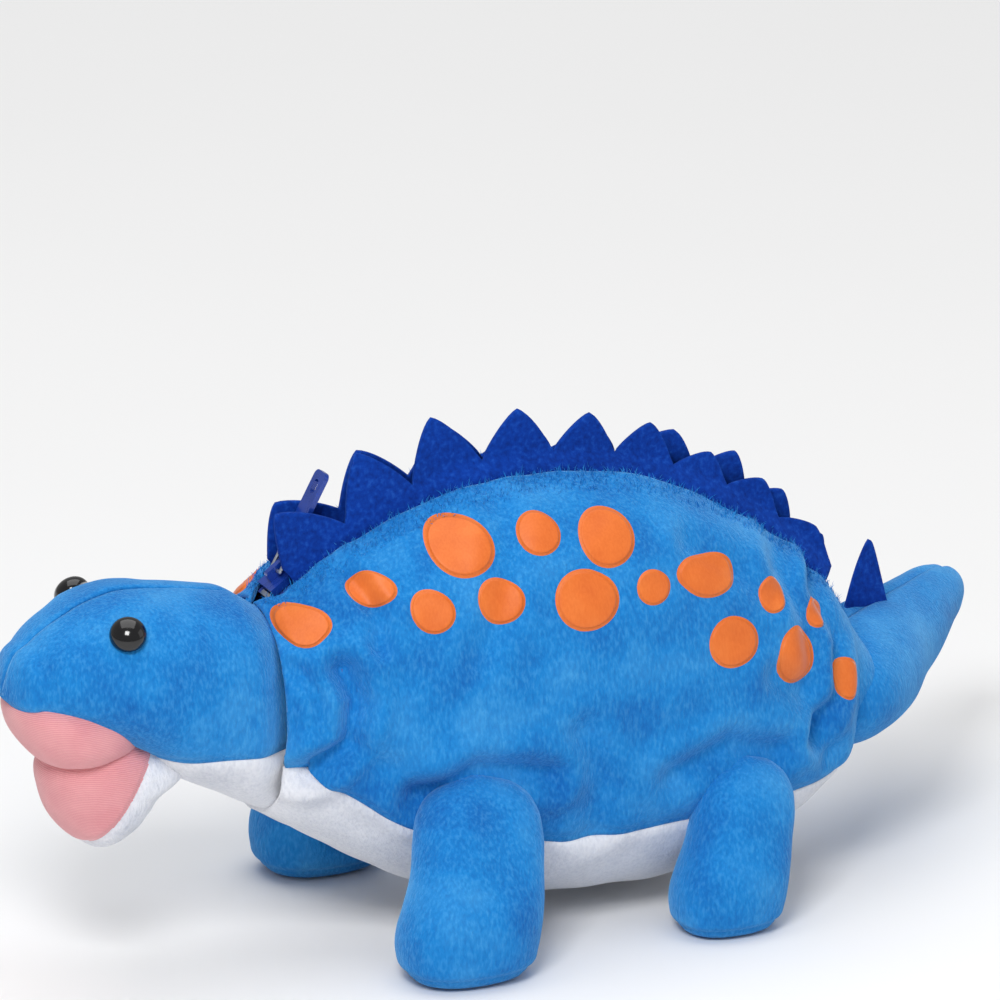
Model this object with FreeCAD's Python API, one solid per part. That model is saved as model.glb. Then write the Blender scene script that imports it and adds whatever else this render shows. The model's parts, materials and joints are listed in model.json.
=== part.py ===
"""Plush stegosaurus pencil pouch with a zip along its spine: one STEP file per physical piece.

Millimetres. +Z is up, the head points to -X and the animal's left side is -Y. The origin is on the
floor, on the middle plane, midway between the front and the rear feet.
"""
import FreeCAD, Part
import math
import os

from FreeCAD import Vector

# ------------------------------------------------------------------ driving dimensions
# The zip runs along the spine on one circular arc in the middle plane. Angles along it are
# measured about the arc's centre from straight up, positive towards the tail.
zip_radius = 113.7
zip_centre_x = -5.6
zip_top_height = 120.8
zip_front_angle = -37.0
zip_rear_angle = 57.5
zip_front_shut = 3.0          # stretch that is sewn shut at the head end, in degrees
zip_rear_shut = 5.5           # the same at the tail end
mouth_open_angle = 52.0       # how far each side of the back folds outwards

body_half_width = 40.0
body_front_x = -92.0
body_rear_x = 96.0
belly_height = 4.5
widest_share = 0.46           # height of the widest line, as a share of belly to back
ridge_rise = 3.0              # the plush edge stands this much above the zip

plush = 2.2                   # plush with its backing
lining = 0.6
felt = 1.6
knit = 1.8                    # pink knit of the mouth
film = 0.25                   # heat-pressed satin spots
sewn_gap = 0.2                # between pieces that are sewn together
joint_gap = 0.5               # between pieces that move past each other
tail_gap = 1.2                # between the swinging tail and the torso

neck_x = -92.0                # nodding axis of the head
neck_z = 77.0
neck_radius = 26.0

tail_x = 90.0                 # swinging axis of the tail
tail_z = 47.0
tail_root_radius = 22.0
tail_root_half_height = 15.5
tail_length = 81.8            # from the swinging axis to the tip
tail_tip_radius = 8.0
tail_rest_angle = 41.1
tail_swing = (-85.0, 10.0)

leg_hinge_gap = 0.4
foot_half_length = 20.0
foot_half_width = 16.0
foot_x = 39.0                 # front and rear feet stand at minus and plus this
foot_y = 50.0
front_leg_height = 47.0
rear_leg_height = 41.0

eye_diameter = 10.0
eye_dome_height = 4.0
eye_x = -123.0
eye_angle = 44.0              # above the horizontal, round the head's section

eye_stem_length = 8.2
eye_lift = 1.0                # the dome sits this much proud of the plush
washer_radius = 5.5
washer_thickness = 1.0
washer_height = 1.5           # above the end of the stem

coil_width = 2.5
coil_height = 2.0
coil_gap = 0.1
tape_half_width = 5.0
tape_thickness = 0.6
stop_span = 0.7               # end stops of the zip, in degrees
channel_depth = 3.4           # room for the slider under the zip line
slider_length = 10.4
slider_width = 8.4
slider_plate = 1.0
slider_flange = 1.0
slider_gap = 0.4
slider_post = (2.0, 1.4)      # length and width of the wedge between the plates
slider_post_setback = 1.0
bridge_length = 6.4
bridge_width = 1.8
bridge_height = 3.0
bridge_rounding = 1.2
pin_clearance = 0.08
link_wire_radius = 0.5
link_length = 5.0
tab_length = 24.0
tab_width = 6.0
tab_thickness = 1.4
tab_rounding = 1.8
tab_neck_length = 1.8
knuckle_wall = 0.7
window_length = 4.0           # slot near the end of the tab
window_width = 2.4
window_edge = 2.5
window_rounding = 1.1
pull_lift = 27.0              # the pull lies back between the spikes, lifted off the coils

spike_height = 20.0           # above the plush edge
spike_valley = 3.5
spike_front_width = 10.4      # first spike, in degrees along the spine
spike_taper = 0.955           # each spike against the one before it
spike_count = 9
spike_bow = 0.28              # half width at the waist, as a share of the whole width
spike_waist = 0.55            # height of the waist, as a share of the spike
strip_depth = 3.5             # felt below the zip line, short enough to clear the other side when open
strip_end_rise = 11.0         # felt lower than this is cut off square at the ends of the mouth
tail_spike_height = 17.0
tail_spike_base = 15.0
tail_spike_distance = 25.0    # from the swinging axis
tail_spike_lean = 2.0

# Mouth forms: centre from the neck axis (X, Z above the floor), half sizes and tilt.
jaw_form = ((-31.5, 50.5), (17.0, 15.5, 12.5), 20.0)
palate_form = ((-43.0, 71.0), (15.0, 16.0, 11.5), 12.0)
jaw_edge = (-32.5, 49.0)      # where pink knit meets white plush on the jaw
jaw_edge_tilt = 35.0
throat_front = -24.0          # front end of the white throat, from the neck axis

# ------------------------------------------------------------------ shape stations
# Torso sections: distance along X, belly height above belly_height, share of body_half_width.
torso_stations = [
    (body_front_x, 41.0, 0.60),
    (-78.0, 31.0, 0.64),
    (-60.0, 20.5, 0.79),
    (-35.0, 7.5, 0.95),
    (0.0, 0.0, 1.00),
    (35.0, 0.0, 1.00),
    (60.0, 6.0, 0.91),
    (80.0, 17.0, 0.77),
    (body_rear_x, 31.5, 0.50),
]
# Head sections: distance along X from the neck axis, bottom, top and half width.
head_stations = [
    (-60.6, 79.5, 85.0, 4.0),
    (-58.5, 78.0, 89.5, 7.5),
    (-52.0, 75.0, 96.5, 14.0),
    (-41.0, 70.5, 103.0, 20.0),
    (-27.0, 63.0, 106.0, 24.0),
    (-12.0, 54.5, 105.0, 25.5),
    (4.0, 52.0, 101.5, 25.0),
    (30.0, 50.0, 99.0, 25.0),
]
# Tail sections behind its round root: share of the length, shares of root radius and root half height.
tail_stations = [(0.0, 1.0, 1.0), (0.28, 0.90, 0.97), (0.60, 0.62, 0.78)]
# Tail tip: distance from the end in tip radii, size in tip radii.
tail_tip_stations = [(1.6, 1.12), (0.45, 0.72), (0.0, 0.15)]
# Leg sections: share of the height, shares of the foot's half length and half width, shift outwards.
leg_stations = [
    (0.0, 0.84, 0.82, 0.0), (0.055, 0.96, 0.96, 0.0), (0.25, 1.0, 1.0, 0.0), (0.62, 0.92, 0.80, -0.5),
]
leg_top_share = 0.82          # length of the seam under the side panel, against the foot's
leg_top_half_width = 4.2
# Where blue plush meets the white belly, seen from the side.
seam_points = [
    (-112.0, 63.0), (-90.0, 61.0), (-71.0, 53.0), (-46.0, 39.0), (-5.0, 29.5), (29.0, 30.0), (105.0, 32.0),
]
# Satin spots on each side: X, Z, half length, half height.
spots = [
    (-76.0, 86.0, 7.0, 7.5), (-50.0, 96.0, 6.5, 4.5), (-31.0, 88.0, 5.5, 6.0), (-20.0, 108.0, 8.5, 9.0),
    (-8.0, 91.0, 6.0, 6.5), (5.0, 109.0, 5.5, 6.0), (26.0, 106.0, 7.0, 8.5), (20.0, 88.0, 8.0, 8.5),
    (40.0, 90.0, 4.5, 4.5), (59.0, 91.0, 8.0, 6.0), (62.0, 70.0, 6.0, 6.8), (80.0, 63.0, 6.0, 8.5),
]

# ------------------------------------------------------------------ values worked out from them
zip_centre_z = zip_top_height - zip_radius
mouth_front_angle = zip_front_angle + zip_front_shut
mouth_rear_angle = zip_rear_angle - zip_rear_shut
slider_half_span = math.degrees(slider_length / 2 / zip_radius)
slider_closed_angle = zip_front_angle + slider_half_span + 0.1
slider_open_angle = zip_rear_angle - slider_half_span - 0.1
ridge_radius = zip_radius + ridge_rise
slider_half_width = slider_width / 2
strip_inner = tape_half_width + sewn_gap
strip_outer = strip_inner + felt
wall_inner = strip_outer + sewn_gap
everything = 4 * body_rear_x   # larger than the whole object, for cutting
leg_hinge_y = body_half_width + leg_hinge_gap
shaft_radius = eye_diameter / 5
slider_lower_face = -coil_height / 2 - slider_gap
slider_upper_face = coil_height / 2 + 2 * slider_gap
pin_height = slider_upper_face + slider_plate + bridge_height / 2

ZIP_CENTRE = Vector(zip_centre_x, 0, zip_centre_z)
AXIS_X = Vector(1, 0, 0)
AXIS_Y = Vector(0, 1, 0)
AXIS_Z = Vector(0, 0, 1)


def save(shape, node):
    shape.exportStep("parts/" + node + ".step")


def on_arc(angle, radius):
    """Point in the middle plane at an angle along the zip's arc."""
    turn = math.radians(angle)
    return ZIP_CENTRE + Vector(radius * math.sin(turn), 0, radius * math.cos(turn))


MOUTH_FRONT = on_arc(mouth_front_angle, zip_radius)
MOUTH_REAR = on_arc(mouth_rear_angle, zip_radius)
MOUTH_LENGTH = (MOUTH_REAR - MOUTH_FRONT).Length
MOUTH_AXIS = (MOUTH_REAR - MOUTH_FRONT).normalize()
MOUTH_NORMAL = AXIS_Y.cross(MOUTH_AXIS) * -1
NECK = Vector(neck_x, 0, neck_z)
TAIL = Vector(tail_x, 0, tail_z)


# ------------------------------------------------------------------ basic solids
def block(x_range, y_range, z_range):
    corner = Vector(x_range[0], y_range[0], z_range[0])
    sizes = [high - low for low, high in (x_range, y_range, z_range)]
    return Part.makeBox(sizes[0], sizes[1], sizes[2], corner)


def arc_band(y_range, radius_range, angle_range):
    """Bar of rectangular section that follows the zip's arc."""
    low, high = radius_range
    corners = [Vector(zip_centre_x, y, zip_centre_z + r) for y in y_range for r in (low, high)]
    outline = [corners[0], corners[1], corners[3], corners[2], corners[0]]
    face = Part.Face(Part.makePolygon(outline))
    face.rotate(ZIP_CENTRE, AXIS_Y, angle_range[0])
    return face.revolve(ZIP_CENTRE, AXIS_Y, angle_range[1] - angle_range[0])


def closed_curve(points):
    curve = Part.BSplineCurve()
    curve.interpolate(Points=points, PeriodicFlag=True)
    return Part.Wire(curve.toShape())


def section(x, bottom, widest, top, half_width, points=16):
    """Egg-shaped section across X: two half ellipses that meet at the widest height."""
    outline = []
    for step in range(points):
        turn = 2 * math.pi * step / points
        rise = math.sin(turn)
        reach = (top - widest) if rise > 0 else (widest - bottom)
        outline.append(Vector(x, half_width * math.cos(turn), widest + reach * rise))
    return closed_curve(outline)


def loft(wires):
    return Part.makeLoft(wires, True, False)


def back_height(x):
    """Height of the plush along the spine."""
    return zip_centre_z + math.sqrt(ridge_radius ** 2 - (x - zip_centre_x) ** 2)


def torso_solid(inset):
    """The whole torso, drawn in by a wall thickness."""
    wires = []
    for x, rise, width_share in torso_stations:
        bottom = belly_height + rise
        top = back_height(x)
        widest = bottom + widest_share * (top - bottom)
        half_width = width_share * body_half_width
        wires.append(section(x, bottom + inset, widest, top - inset, half_width - inset))
    return loft(wires)


def head_solid(inset):
    wires = []
    for ahead, bottom, top, half_width in head_stations:
        drawn_in = min(inset, (top - bottom) / 2 - 1, half_width - 1)
        shift = inset if ahead == head_stations[0][0] else 0
        widest = (bottom + top) / 2
        wires.append(section(neck_x + ahead + shift, bottom + drawn_in, widest, top - drawn_in,
                             half_width - drawn_in))
    return loft(wires)


def neck_cylinder(radius):
    start = NECK - AXIS_Y * everything / 2
    return Part.makeCylinder(radius, everything, start, AXIS_Y)


def half_space(side):
    """Everything on one side of the middle plane: side is -1 for left, +1 for right."""
    near = sewn_gap / 2
    y_range = (near, everything) if side > 0 else (-everything, -near)
    return block((-everything, everything), y_range, (-everything, everything))


def on_mouth_axis(shape):
    """Bring a shape drawn along +X from the origin to the mouth's hinge line."""
    shape.rotate(Vector(0, 0, 0), AXIS_Y, -math.degrees(math.atan2(MOUTH_AXIS.z, MOUTH_AXIS.x)))
    shape.translate(MOUTH_FRONT)
    return shape


def above_mouth_axis(offset):
    """Everything above the plane through the mouth's hinge line."""
    wide = (-everything, everything)
    return on_mouth_axis(block(wide, wide, (offset, everything)))


def mouth_span(extra):
    """Everything between the two ends of the mouth, cut square to its hinge line."""
    wide = (-everything, everything)
    return on_mouth_axis(block((extra, MOUTH_LENGTH - extra), wide, wide))


def beyond_mouth_ends():
    """Space over the fixed plush at the mouth's ends that the opening felt stays out of."""
    slope = math.tan(math.radians((mouth_rear_angle - mouth_front_angle) / 2))
    reach = everything / 4
    spaces = []
    for end, outwards in ((joint_gap / 2, -1), (MOUTH_LENGTH - joint_gap / 2, 1)):
        far = end + outwards * reach
        far_rise = strip_end_rise - slope * reach
        corners = [(end, -reach), (end, strip_end_rise), (far, far_rise), (far, far_rise - reach)]
        outline = [Vector(x, -everything / 2, z) for x, z in corners + corners[:1]]
        spaces.append(on_mouth_axis(Part.Face(Part.makePolygon(outline)).extrude(AXIS_Y * everything)))
    return spaces


def below_belly_seam(offset):
    """Everything below the seam between blue plush and white belly."""
    points = [Vector(x, -everything / 2, z + offset) for x, z in seam_points]
    curve = Part.BSplineCurve()
    curve.interpolate(Points=points)
    first, last = points[0], points[-1]
    floor = -everything / 2
    corners = [last, Vector(last.x, last.y, floor), Vector(first.x, first.y, floor), first]
    outline = Part.Wire([curve.toShape()] + Part.makePolygon(corners).Edges)
    return Part.Face(outline).extrude(AXIS_Y * everything)


def flap_envelope(clearance):
    """Round space that the opening sides sweep inside the torso."""
    steps = 24
    start = MOUTH_FRONT - MOUTH_AXIS * joint_gap / 2
    reach = MOUTH_LENGTH + joint_gap
    outline = []
    for step in range(steps + 1):
        point = start + MOUTH_AXIS * (reach * step / steps)
        outline.append(point - MOUTH_NORMAL * (torso_width(point.x, point.z) + clearance))
    curve = Part.BSplineCurve()
    curve.interpolate(Points=outline)
    finish = start + MOUTH_AXIS * reach
    ends = Part.makePolygon([outline[-1], finish, start, outline[0]]).Edges
    face = Part.Face(Part.Wire([curve.toShape()] + ends))
    return face.revolve(MOUTH_FRONT, MOUTH_AXIS, 360)


def torso_width(x, z):
    """Half width of the torso's outer surface at a place, by interpolating the stations."""
    for before, after in zip(torso_stations, torso_stations[1:]):
        if before[0] <= x <= after[0]:
            share = (x - before[0]) / (after[0] - before[0])
            bottom = belly_height + before[1] + share * (after[1] - before[1])
            half_width = body_half_width * (before[2] + share * (after[2] - before[2]))
            top = back_height(x)
            widest = bottom + widest_share * (top - bottom)
            reach = (top - widest) if z > widest else (widest - bottom)
            return half_width * math.sqrt(max(0.0, 1 - ((z - widest) / reach) ** 2))
    return 0.0


def zip_channel(half_width, depth):
    """Space along the whole zip that the slider runs in."""
    angles = (zip_front_angle - 2 * stop_span, zip_rear_angle + 2 * stop_span)
    return arc_band((-half_width, half_width), (zip_radius - depth, zip_radius + everything / 4), angles)


# ------------------------------------------------------------------ tail, in its own frame
def along_tail(shape, angle=tail_rest_angle):
    """Bring a shape drawn with the tail straight back along +X into place."""
    shape.translate(TAIL)
    shape.rotate(TAIL, AXIS_Z, angle)
    return shape


def tail_solid(inset):
    """Round root and tapering tail, drawn along +X from the swinging axis."""
    root = tail_root_radius - inset
    height = tail_root_half_height - inset
    tip = tail_tip_radius - inset
    stations = []
    for turn in (10, 30, 50, 70):
        share = math.sin(math.radians(turn))
        stations.append((-root * math.cos(math.radians(turn)), share * root, share * height))
    for length_share, wide_share, tall_share in tail_stations:
        stations.append((length_share * tail_length, wide_share * root, tall_share * height))
    for from_end, size in tail_tip_stations:
        stations.append((tail_length - from_end * tail_tip_radius - inset, size * tip, size * tip))
    return Part.makeLoft([section(x, -tall, 0, tall, wide) for x, wide, tall in stations], True, True)


def tail_keepout(clearance):
    """Space that the tail sweeps while it swings."""
    radius = tail_root_radius + clearance
    low = tail_z - tail_root_half_height - clearance
    tall = 2 * (tail_root_half_height + clearance)
    shrink = math.degrees(math.asin((tail_root_radius - tail_tip_radius) / tail_length))
    corners = []
    for turn, side in ((tail_rest_angle + tail_swing[1], 1), (tail_rest_angle + tail_swing[0], -1)):
        touch = math.radians(turn + side * (90 - shrink))
        flank = math.radians(turn - side * shrink)
        near = Vector(tail_x + radius * math.cos(touch), radius * math.sin(touch), low)
        far = near + Vector(math.cos(flank), math.sin(flank), 0) * everything / 2
        corners.append((near, far))
    (near_a, far_a), (near_b, far_b) = corners
    outline = Part.makePolygon([near_a, far_a, far_b, near_b, near_a])
    fan = Part.Face(outline).extrude(AXIS_Z * tall)
    hub = Part.makeCylinder(radius, tall, Vector(tail_x, 0, low))
    return hub.fuse(fan)


# ------------------------------------------------------------------ torso
def flap_region(side):
    """Part of the torso that folds outwards on one side when the zip is open."""
    start = wall_inner if side > 0 else -everything
    stop = everything if side > 0 else -wall_inner
    outside_zip = block((-everything, everything), (start, stop), (0, everything))
    return above_mouth_axis(joint_gap / 2).common(mouth_span(joint_gap / 2)).common(outside_zip)


def moving_room():
    """Everything that the fixed part of the torso keeps clear of."""
    opening = above_mouth_axis(-joint_gap / 2).common(mouth_span(-joint_gap / 2))
    return [
        opening,
        flap_envelope(2 * joint_gap),
        zip_channel(tape_half_width + sewn_gap, channel_depth),
        neck_cylinder(neck_radius + joint_gap),
        tail_keepout(tail_gap),
    ]


def only_largest(shape):
    """The main solid of a cut, without crumbs."""
    return max(shape.Solids, key=lambda solid: solid.Volume)


def torso_parts(room):
    wall = torso_solid(0).cut(torso_solid(plush))
    lining_outside = plush + sewn_gap
    sheet = torso_solid(lining_outside).cut(torso_solid(lining_outside + lining))
    inside = torso_solid(lining_outside + lining + sewn_gap)
    fixed = wall.cut(room)
    fixed_lining = sheet.cut(room)
    blue = fixed.cut(below_belly_seam(sewn_gap / 2))
    save(only_largest(fixed.common(below_belly_seam(-sewn_gap / 2))), "belly_panel")
    save(only_largest(fixed_lining), "lining_lower")
    for side, name in SIDES:
        save(only_largest(blue.common(half_space(side))), name + "_side_panel")
        flap = flap_region(side)
        save(only_largest(wall.common(flap)), name + "_back_panel")
        save(only_largest(sheet.common(flap)), name + "_back_lining")
    neck_wall = neck_cylinder(neck_radius + joint_gap + plush).cut(neck_cylinder(neck_radius + joint_gap))
    behind_neck = block((neck_x, 0), (-everything, everything), (0, everything))
    neck_panel = neck_wall.common(inside).common(behind_neck).cut(room)
    save(only_largest(neck_panel), "neck_closing_panel")
    tail_wall = tail_keepout(tail_gap + plush).cut(tail_keepout(tail_gap))
    save(only_largest(tail_wall.common(inside).cut(room)), "tail_closing_panel")


def spot_parts(room):
    """Satin spots pressed on the plush: a thin film that follows the torso's surface."""
    skin = torso_solid(-film).cut(torso_solid(0))
    for side, name in SIDES:
        flap = flap_region(side)
        upper = []
        lower = []
        for x, z, half_length, half_height in spots:
            rim = section(0, -half_height, 0, half_height, half_length)
            rim.rotate(Vector(0, 0, 0), AXIS_Z, 90)
            rim.translate(Vector(x, 0, z))
            patch = skin.common(Part.Face(rim).extrude(AXIS_Y * side * everything))
            upper += patch.common(flap).Solids
            lower += patch.Solids[0].cut(room).Solids
        save(Part.Compound(upper), name + "_back_spots")
        save(Part.Compound(lower), name + "_side_spots")


# ------------------------------------------------------------------ zip
def side_band(side, inner, outer, radius_range, angle_range):
    y_range = (inner, outer) if side > 0 else (-outer, -inner)
    return arc_band(y_range, radius_range, angle_range)


def zip_parts():
    half_tape = tape_thickness / 2
    tape_inner = coil_width + 2 * coil_gap
    tape_range = (zip_radius - half_tape, zip_radius + half_tape)
    hem_range = (zip_radius - strip_depth, zip_radius + half_tape)
    coil_range = (zip_radius - coil_height / 2, zip_radius + coil_height / 2)
    clear = math.degrees(joint_gap / 2 / zip_radius)
    mouth = (mouth_front_angle + clear, mouth_rear_angle - clear)
    coil_front = slider_closed_angle + slider_half_span + 2 * clear
    for side, name in SIDES:
        tape = side_band(side, tape_inner, tape_half_width, tape_range, mouth)
        hem = side_band(side, tape_half_width - tape_thickness, tape_half_width, hem_range, mouth)
        save(tape.fuse(hem), name + "_zip_tape")
        coil = side_band(side, coil_gap, coil_gap + coil_width, coil_range, (coil_front, mouth[1]))
        save(coil, name + "_zip_coil")
    front_end = zip_front_angle - stop_span
    rear_end = zip_rear_angle + stop_span
    ends = {
        "zip_front": (front_end - clear, mouth[0] - 2 * clear, front_end),
        "zip_rear": (mouth[1] + 2 * clear, rear_end + clear, zip_rear_angle),
    }
    neck_space = neck_cylinder(neck_radius + joint_gap)
    for name, (start, finish, stop_start) in ends.items():
        span = (start, finish)
        tapes = [side_band(side, tape_inner, tape_half_width, tape_range, span) for side, _ in SIDES]
        trimmed = [solid for tape in tapes for solid in tape.cut(neck_space).Solids]
        save(Part.Compound(trimmed), name + "_tape_ends")
        stop = arc_band((-coil_width, coil_width), coil_range, (stop_start, stop_start + stop_span))
        save(only_largest(stop.cut(neck_space)), name + "_stop")


def on_slider(shape):
    """Bring a shape drawn on top of the arc to the closed slider's place."""
    shape.translate(Vector(zip_centre_x, 0, zip_centre_z + zip_radius))
    shape.rotate(ZIP_CENTRE, AXIS_Y, slider_closed_angle)
    return shape


def on_lifted_pull(shape):
    """Lift a shape of the pull about the slider's pin and bring it to its place."""
    shape.rotate(Vector(0, 0, pin_height), AXIS_Y, -pull_lift)
    return on_slider(shape)


def cross_pin(x, radius, half_width):
    """Round bar across the zip at the height of the slider's pin."""
    return Part.makeCylinder(radius, 2 * half_width, Vector(x, -half_width, pin_height), AXIS_Y)


def upright_edges(shape, least):
    return [edge for edge in shape.Edges if edge.BoundBox.ZLength > least]


def slider_body():
    half = slider_length / 2
    slot = tape_thickness / 2 + slider_gap
    low = slider_lower_face - slider_plate
    high = slider_upper_face + slider_plate
    body = block((-half, half), (-slider_half_width, slider_half_width), (low, slider_lower_face))
    body = body.fuse(block((-half, half), (-slider_half_width, slider_half_width), (slider_upper_face, high)))
    for side in (-1, 1):
        y_range = sorted((side * (slider_half_width - slider_flange), side * slider_half_width))
        body = body.fuse(block((-half, half), y_range, (low, -slot)))
        body = body.fuse(block((-half, half), y_range, (slot, high)))
    post_length, post_width = slider_post
    post_rear = half - slider_post_setback
    post_y = (-post_width / 2, post_width / 2)
    post_z = (slider_lower_face, slider_upper_face)
    body = body.fuse(block((post_rear - post_length, post_rear), post_y, post_z))
    bridge_x = (-bridge_length / 2, bridge_length / 2)
    bridge = block(bridge_x, (-bridge_width / 2, bridge_width / 2), (high, high + bridge_height))
    top_edges = [edge for edge in bridge.Edges if edge.BoundBox.ZMin > high]
    across = [edge for edge in top_edges if edge.BoundBox.YLength > bridge_width / 2]
    bridge = bridge.makeFillet(bridge_rounding, across)
    bore = cross_pin(0, link_wire_radius + pin_clearance, slider_half_width)
    return body.fuse(bridge).cut(bore).removeSplitter()


def pull_link():
    """Rectangle of round wire: one side runs through the bridge, the other through the tab."""
    half_width = tab_width / 2 - link_wire_radius
    ends = [(0, -half_width), (link_length, -half_width), (link_length, half_width), (0, half_width)]
    corners = [Vector(x, y, pin_height) for x, y in ends]
    link = Part.makeSphere(link_wire_radius, corners[0])
    for start, finish in zip(corners, corners[1:] + corners[:1]):
        reach = finish - start
        link = link.fuse(Part.makeCylinder(link_wire_radius, reach.Length, start, reach))
        link = link.fuse(Part.makeSphere(link_wire_radius, finish))
    return link


def pull_tab():
    bore_radius = link_wire_radius + pin_clearance
    knuckle_radius = bore_radius + knuckle_wall
    knuckle_half = tab_width / 2 - 2 * link_wire_radius - joint_gap / 2
    flat = (pin_height - tab_thickness / 2, pin_height + tab_thickness / 2)
    plate_start = link_length + knuckle_radius + joint_gap
    end = link_length + tab_length
    tab = cross_pin(link_length, knuckle_radius, knuckle_half)
    neck = block((link_length, plate_start + tab_neck_length), (-knuckle_half, knuckle_half), flat)
    plate = block((plate_start, end), (-tab_width / 2, tab_width / 2), flat)
    plate = plate.makeFillet(tab_rounding, upright_edges(plate, tab_thickness / 2))
    window_x = (end - window_edge - window_length, end - window_edge)
    window_z = (pin_height - tab_thickness, pin_height + tab_thickness)
    window = block(window_x, (-window_width / 2, window_width / 2), window_z)
    window = window.makeFillet(window_rounding, upright_edges(window, tab_thickness))
    bore = cross_pin(link_length, bore_radius, tab_width / 2)
    return tab.fuse(neck).fuse(plate).cut(bore).cut(window).removeSplitter()


def slider_parts():
    save(on_slider(slider_body()), "slider_body")
    save(on_lifted_pull(pull_link()), "pull_link")
    save(on_lifted_pull(pull_tab()), "pull_tab")


# ------------------------------------------------------------------ felt spikes
def spike_face(front, rear, y):
    """One spike with bowed sides, standing on the spine between two angles."""
    middle = (front + rear) / 2
    base = ridge_radius + spike_valley
    tip = ridge_radius + spike_height
    low_front = on_arc(front, base)
    low_rear = on_arc(rear, base)
    peak = on_arc(middle, tip)
    bow = spike_bow * (rear - front)
    waist = base + spike_waist * (tip - base)
    front_side = Part.Arc(low_front, on_arc(middle - bow, waist), peak)
    rear_side = Part.Arc(peak, on_arc(middle + bow, waist), low_rear)
    feet = [on_arc(rear, ridge_radius), on_arc(front, ridge_radius)]
    foot = Part.makePolygon([low_rear] + feet + [low_front]).Edges
    face = Part.Face(Part.Wire([front_side.toShape(), rear_side.toShape()] + foot))
    face.translate(AXIS_Y * y)
    return face


def spike_strips():
    clear = math.degrees(joint_gap / 2 / zip_radius)
    start = mouth_front_angle + clear
    end_spaces = beyond_mouth_ends()
    for side, name in SIDES:
        y_start = strip_inner if side > 0 else -strip_outer
        band_range = (zip_radius - strip_depth, ridge_radius + spike_valley / 2)
        strip = arc_band((y_start, y_start + felt), band_range, (start, mouth_rear_angle - clear))
        front = start
        width = spike_front_width
        for _ in range(spike_count):
            strip = strip.fuse(spike_face(front, front + width, y_start).extrude(AXIS_Y * felt))
            front += width
            width *= spike_taper
        save(only_largest(strip.removeSplitter().cut(end_spaces)), name + "_spikes")


# ------------------------------------------------------------------ head
def head_region(inset):
    """The head lies ahead of the neck crease and inside the round joint with the torso."""
    ahead = block((-everything, neck_x), (-everything, everything), (-everything, everything))
    return ahead.fuse(neck_cylinder(neck_radius - inset))


def mouth_form(form, inset):
    """Squashed ball of the jaw or of the roof of the mouth."""
    (ahead, height), half_sizes, tilt = form
    stretch = FreeCAD.Matrix()
    stretch.scale(*[size - inset for size in half_sizes])
    ball = Part.makeSphere(1.0).transformGeometry(stretch)
    ball.rotate(Vector(0, 0, 0), AXIS_Y, tilt)
    ball.translate(Vector(neck_x + ahead, 0, height))
    return ball


def eye_frame(side):
    """Place and outward direction of an eye on the head's surface."""
    turn = math.radians(eye_angle)
    _, bottom, top, half_width = head_stations[4]
    half_height = (top - bottom) / 2
    y = half_width * math.cos(turn)
    rise = half_height * math.sin(turn)
    narrowing = (head_stations[3][3] - half_width) / (head_stations[3][0] - head_stations[4][0])
    slope = Vector(-narrowing, side * y / half_width ** 2 * half_height, rise / half_height)
    return Vector(eye_x, side * y, top - half_height + rise), slope.normalize()


def eye_solids(side):
    """Domed eye with its stem, the washer that holds it, and the room both need."""
    stem = Part.makeCylinder(shaft_radius, eye_stem_length, Vector(0, 0, -eye_stem_length))
    flatten = FreeCAD.Matrix()
    flatten.scale(eye_diameter / 2, eye_diameter / 2, eye_dome_height)
    ball = Part.makeSphere(1.0).transformGeometry(flatten)
    wide = (-eye_diameter, eye_diameter)
    eye = ball.common(block(wide, wide, (0, eye_diameter))).fuse(stem)
    washer_base = Vector(0, 0, washer_height - eye_stem_length)
    washer = Part.makeCylinder(washer_radius, washer_thickness, washer_base)
    washer = washer.cut(Part.makeCylinder(shaft_radius + sewn_gap / 2, washer_thickness, washer_base))
    hole = Part.makeCylinder(shaft_radius + sewn_gap / 2, 4 * eye_diameter, Vector(0, 0, -2 * eye_diameter))
    pocket_base = Vector(0, 0, -eye_stem_length - sewn_gap)
    pocket = Part.makeCylinder(washer_radius + sewn_gap, eye_stem_length, pocket_base)
    place, outward = eye_frame(side)
    placement = FreeCAD.Placement(place + outward * eye_lift, FreeCAD.Rotation(AXIS_Z, outward))
    for shape in (eye, washer, hole, pocket):
        shape.Placement = placement
    return eye, washer, hole, pocket


def head_parts():
    shell = head_solid(0).common(head_region(0)).cut(head_solid(plush).common(head_region(plush)))
    core = head_solid(plush + sewn_gap).common(head_region(plush + sewn_gap))
    wide = (-everything, everything)
    throat = below_belly_seam(0).common(block((neck_x + throat_front, 0), wide, (0, everything)))
    edge_front = neck_x + throat_front - sewn_gap
    throat_edge = below_belly_seam(sewn_gap).common(block((edge_front, 0), wide, (0, everything)))
    throat_panel = only_largest(shell.common(throat))
    save(throat_panel, "throat_panel")
    core = core.cut(throat_panel)
    blue = shell.cut(throat_edge)
    for side, name in SIDES:
        eye, washer, hole, pocket = eye_solids(side)
        place, outward = eye_frame(side)
        seat_radius = eye_diameter / 2 + joint_gap
        seat = Part.makeSphere(2 * seat_radius, place + outward * 2 * seat_radius)
        panel = blue.common(half_space(side)).cut([hole, seat])
        panel = only_largest(panel)
        save(panel, name + "_head_panel")
        save(eye, name + "_eye")
        save(washer, name + "_eye_washer")
        core = core.cut([pocket, panel])
    save(only_largest(core), "head_stuffing")


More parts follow.
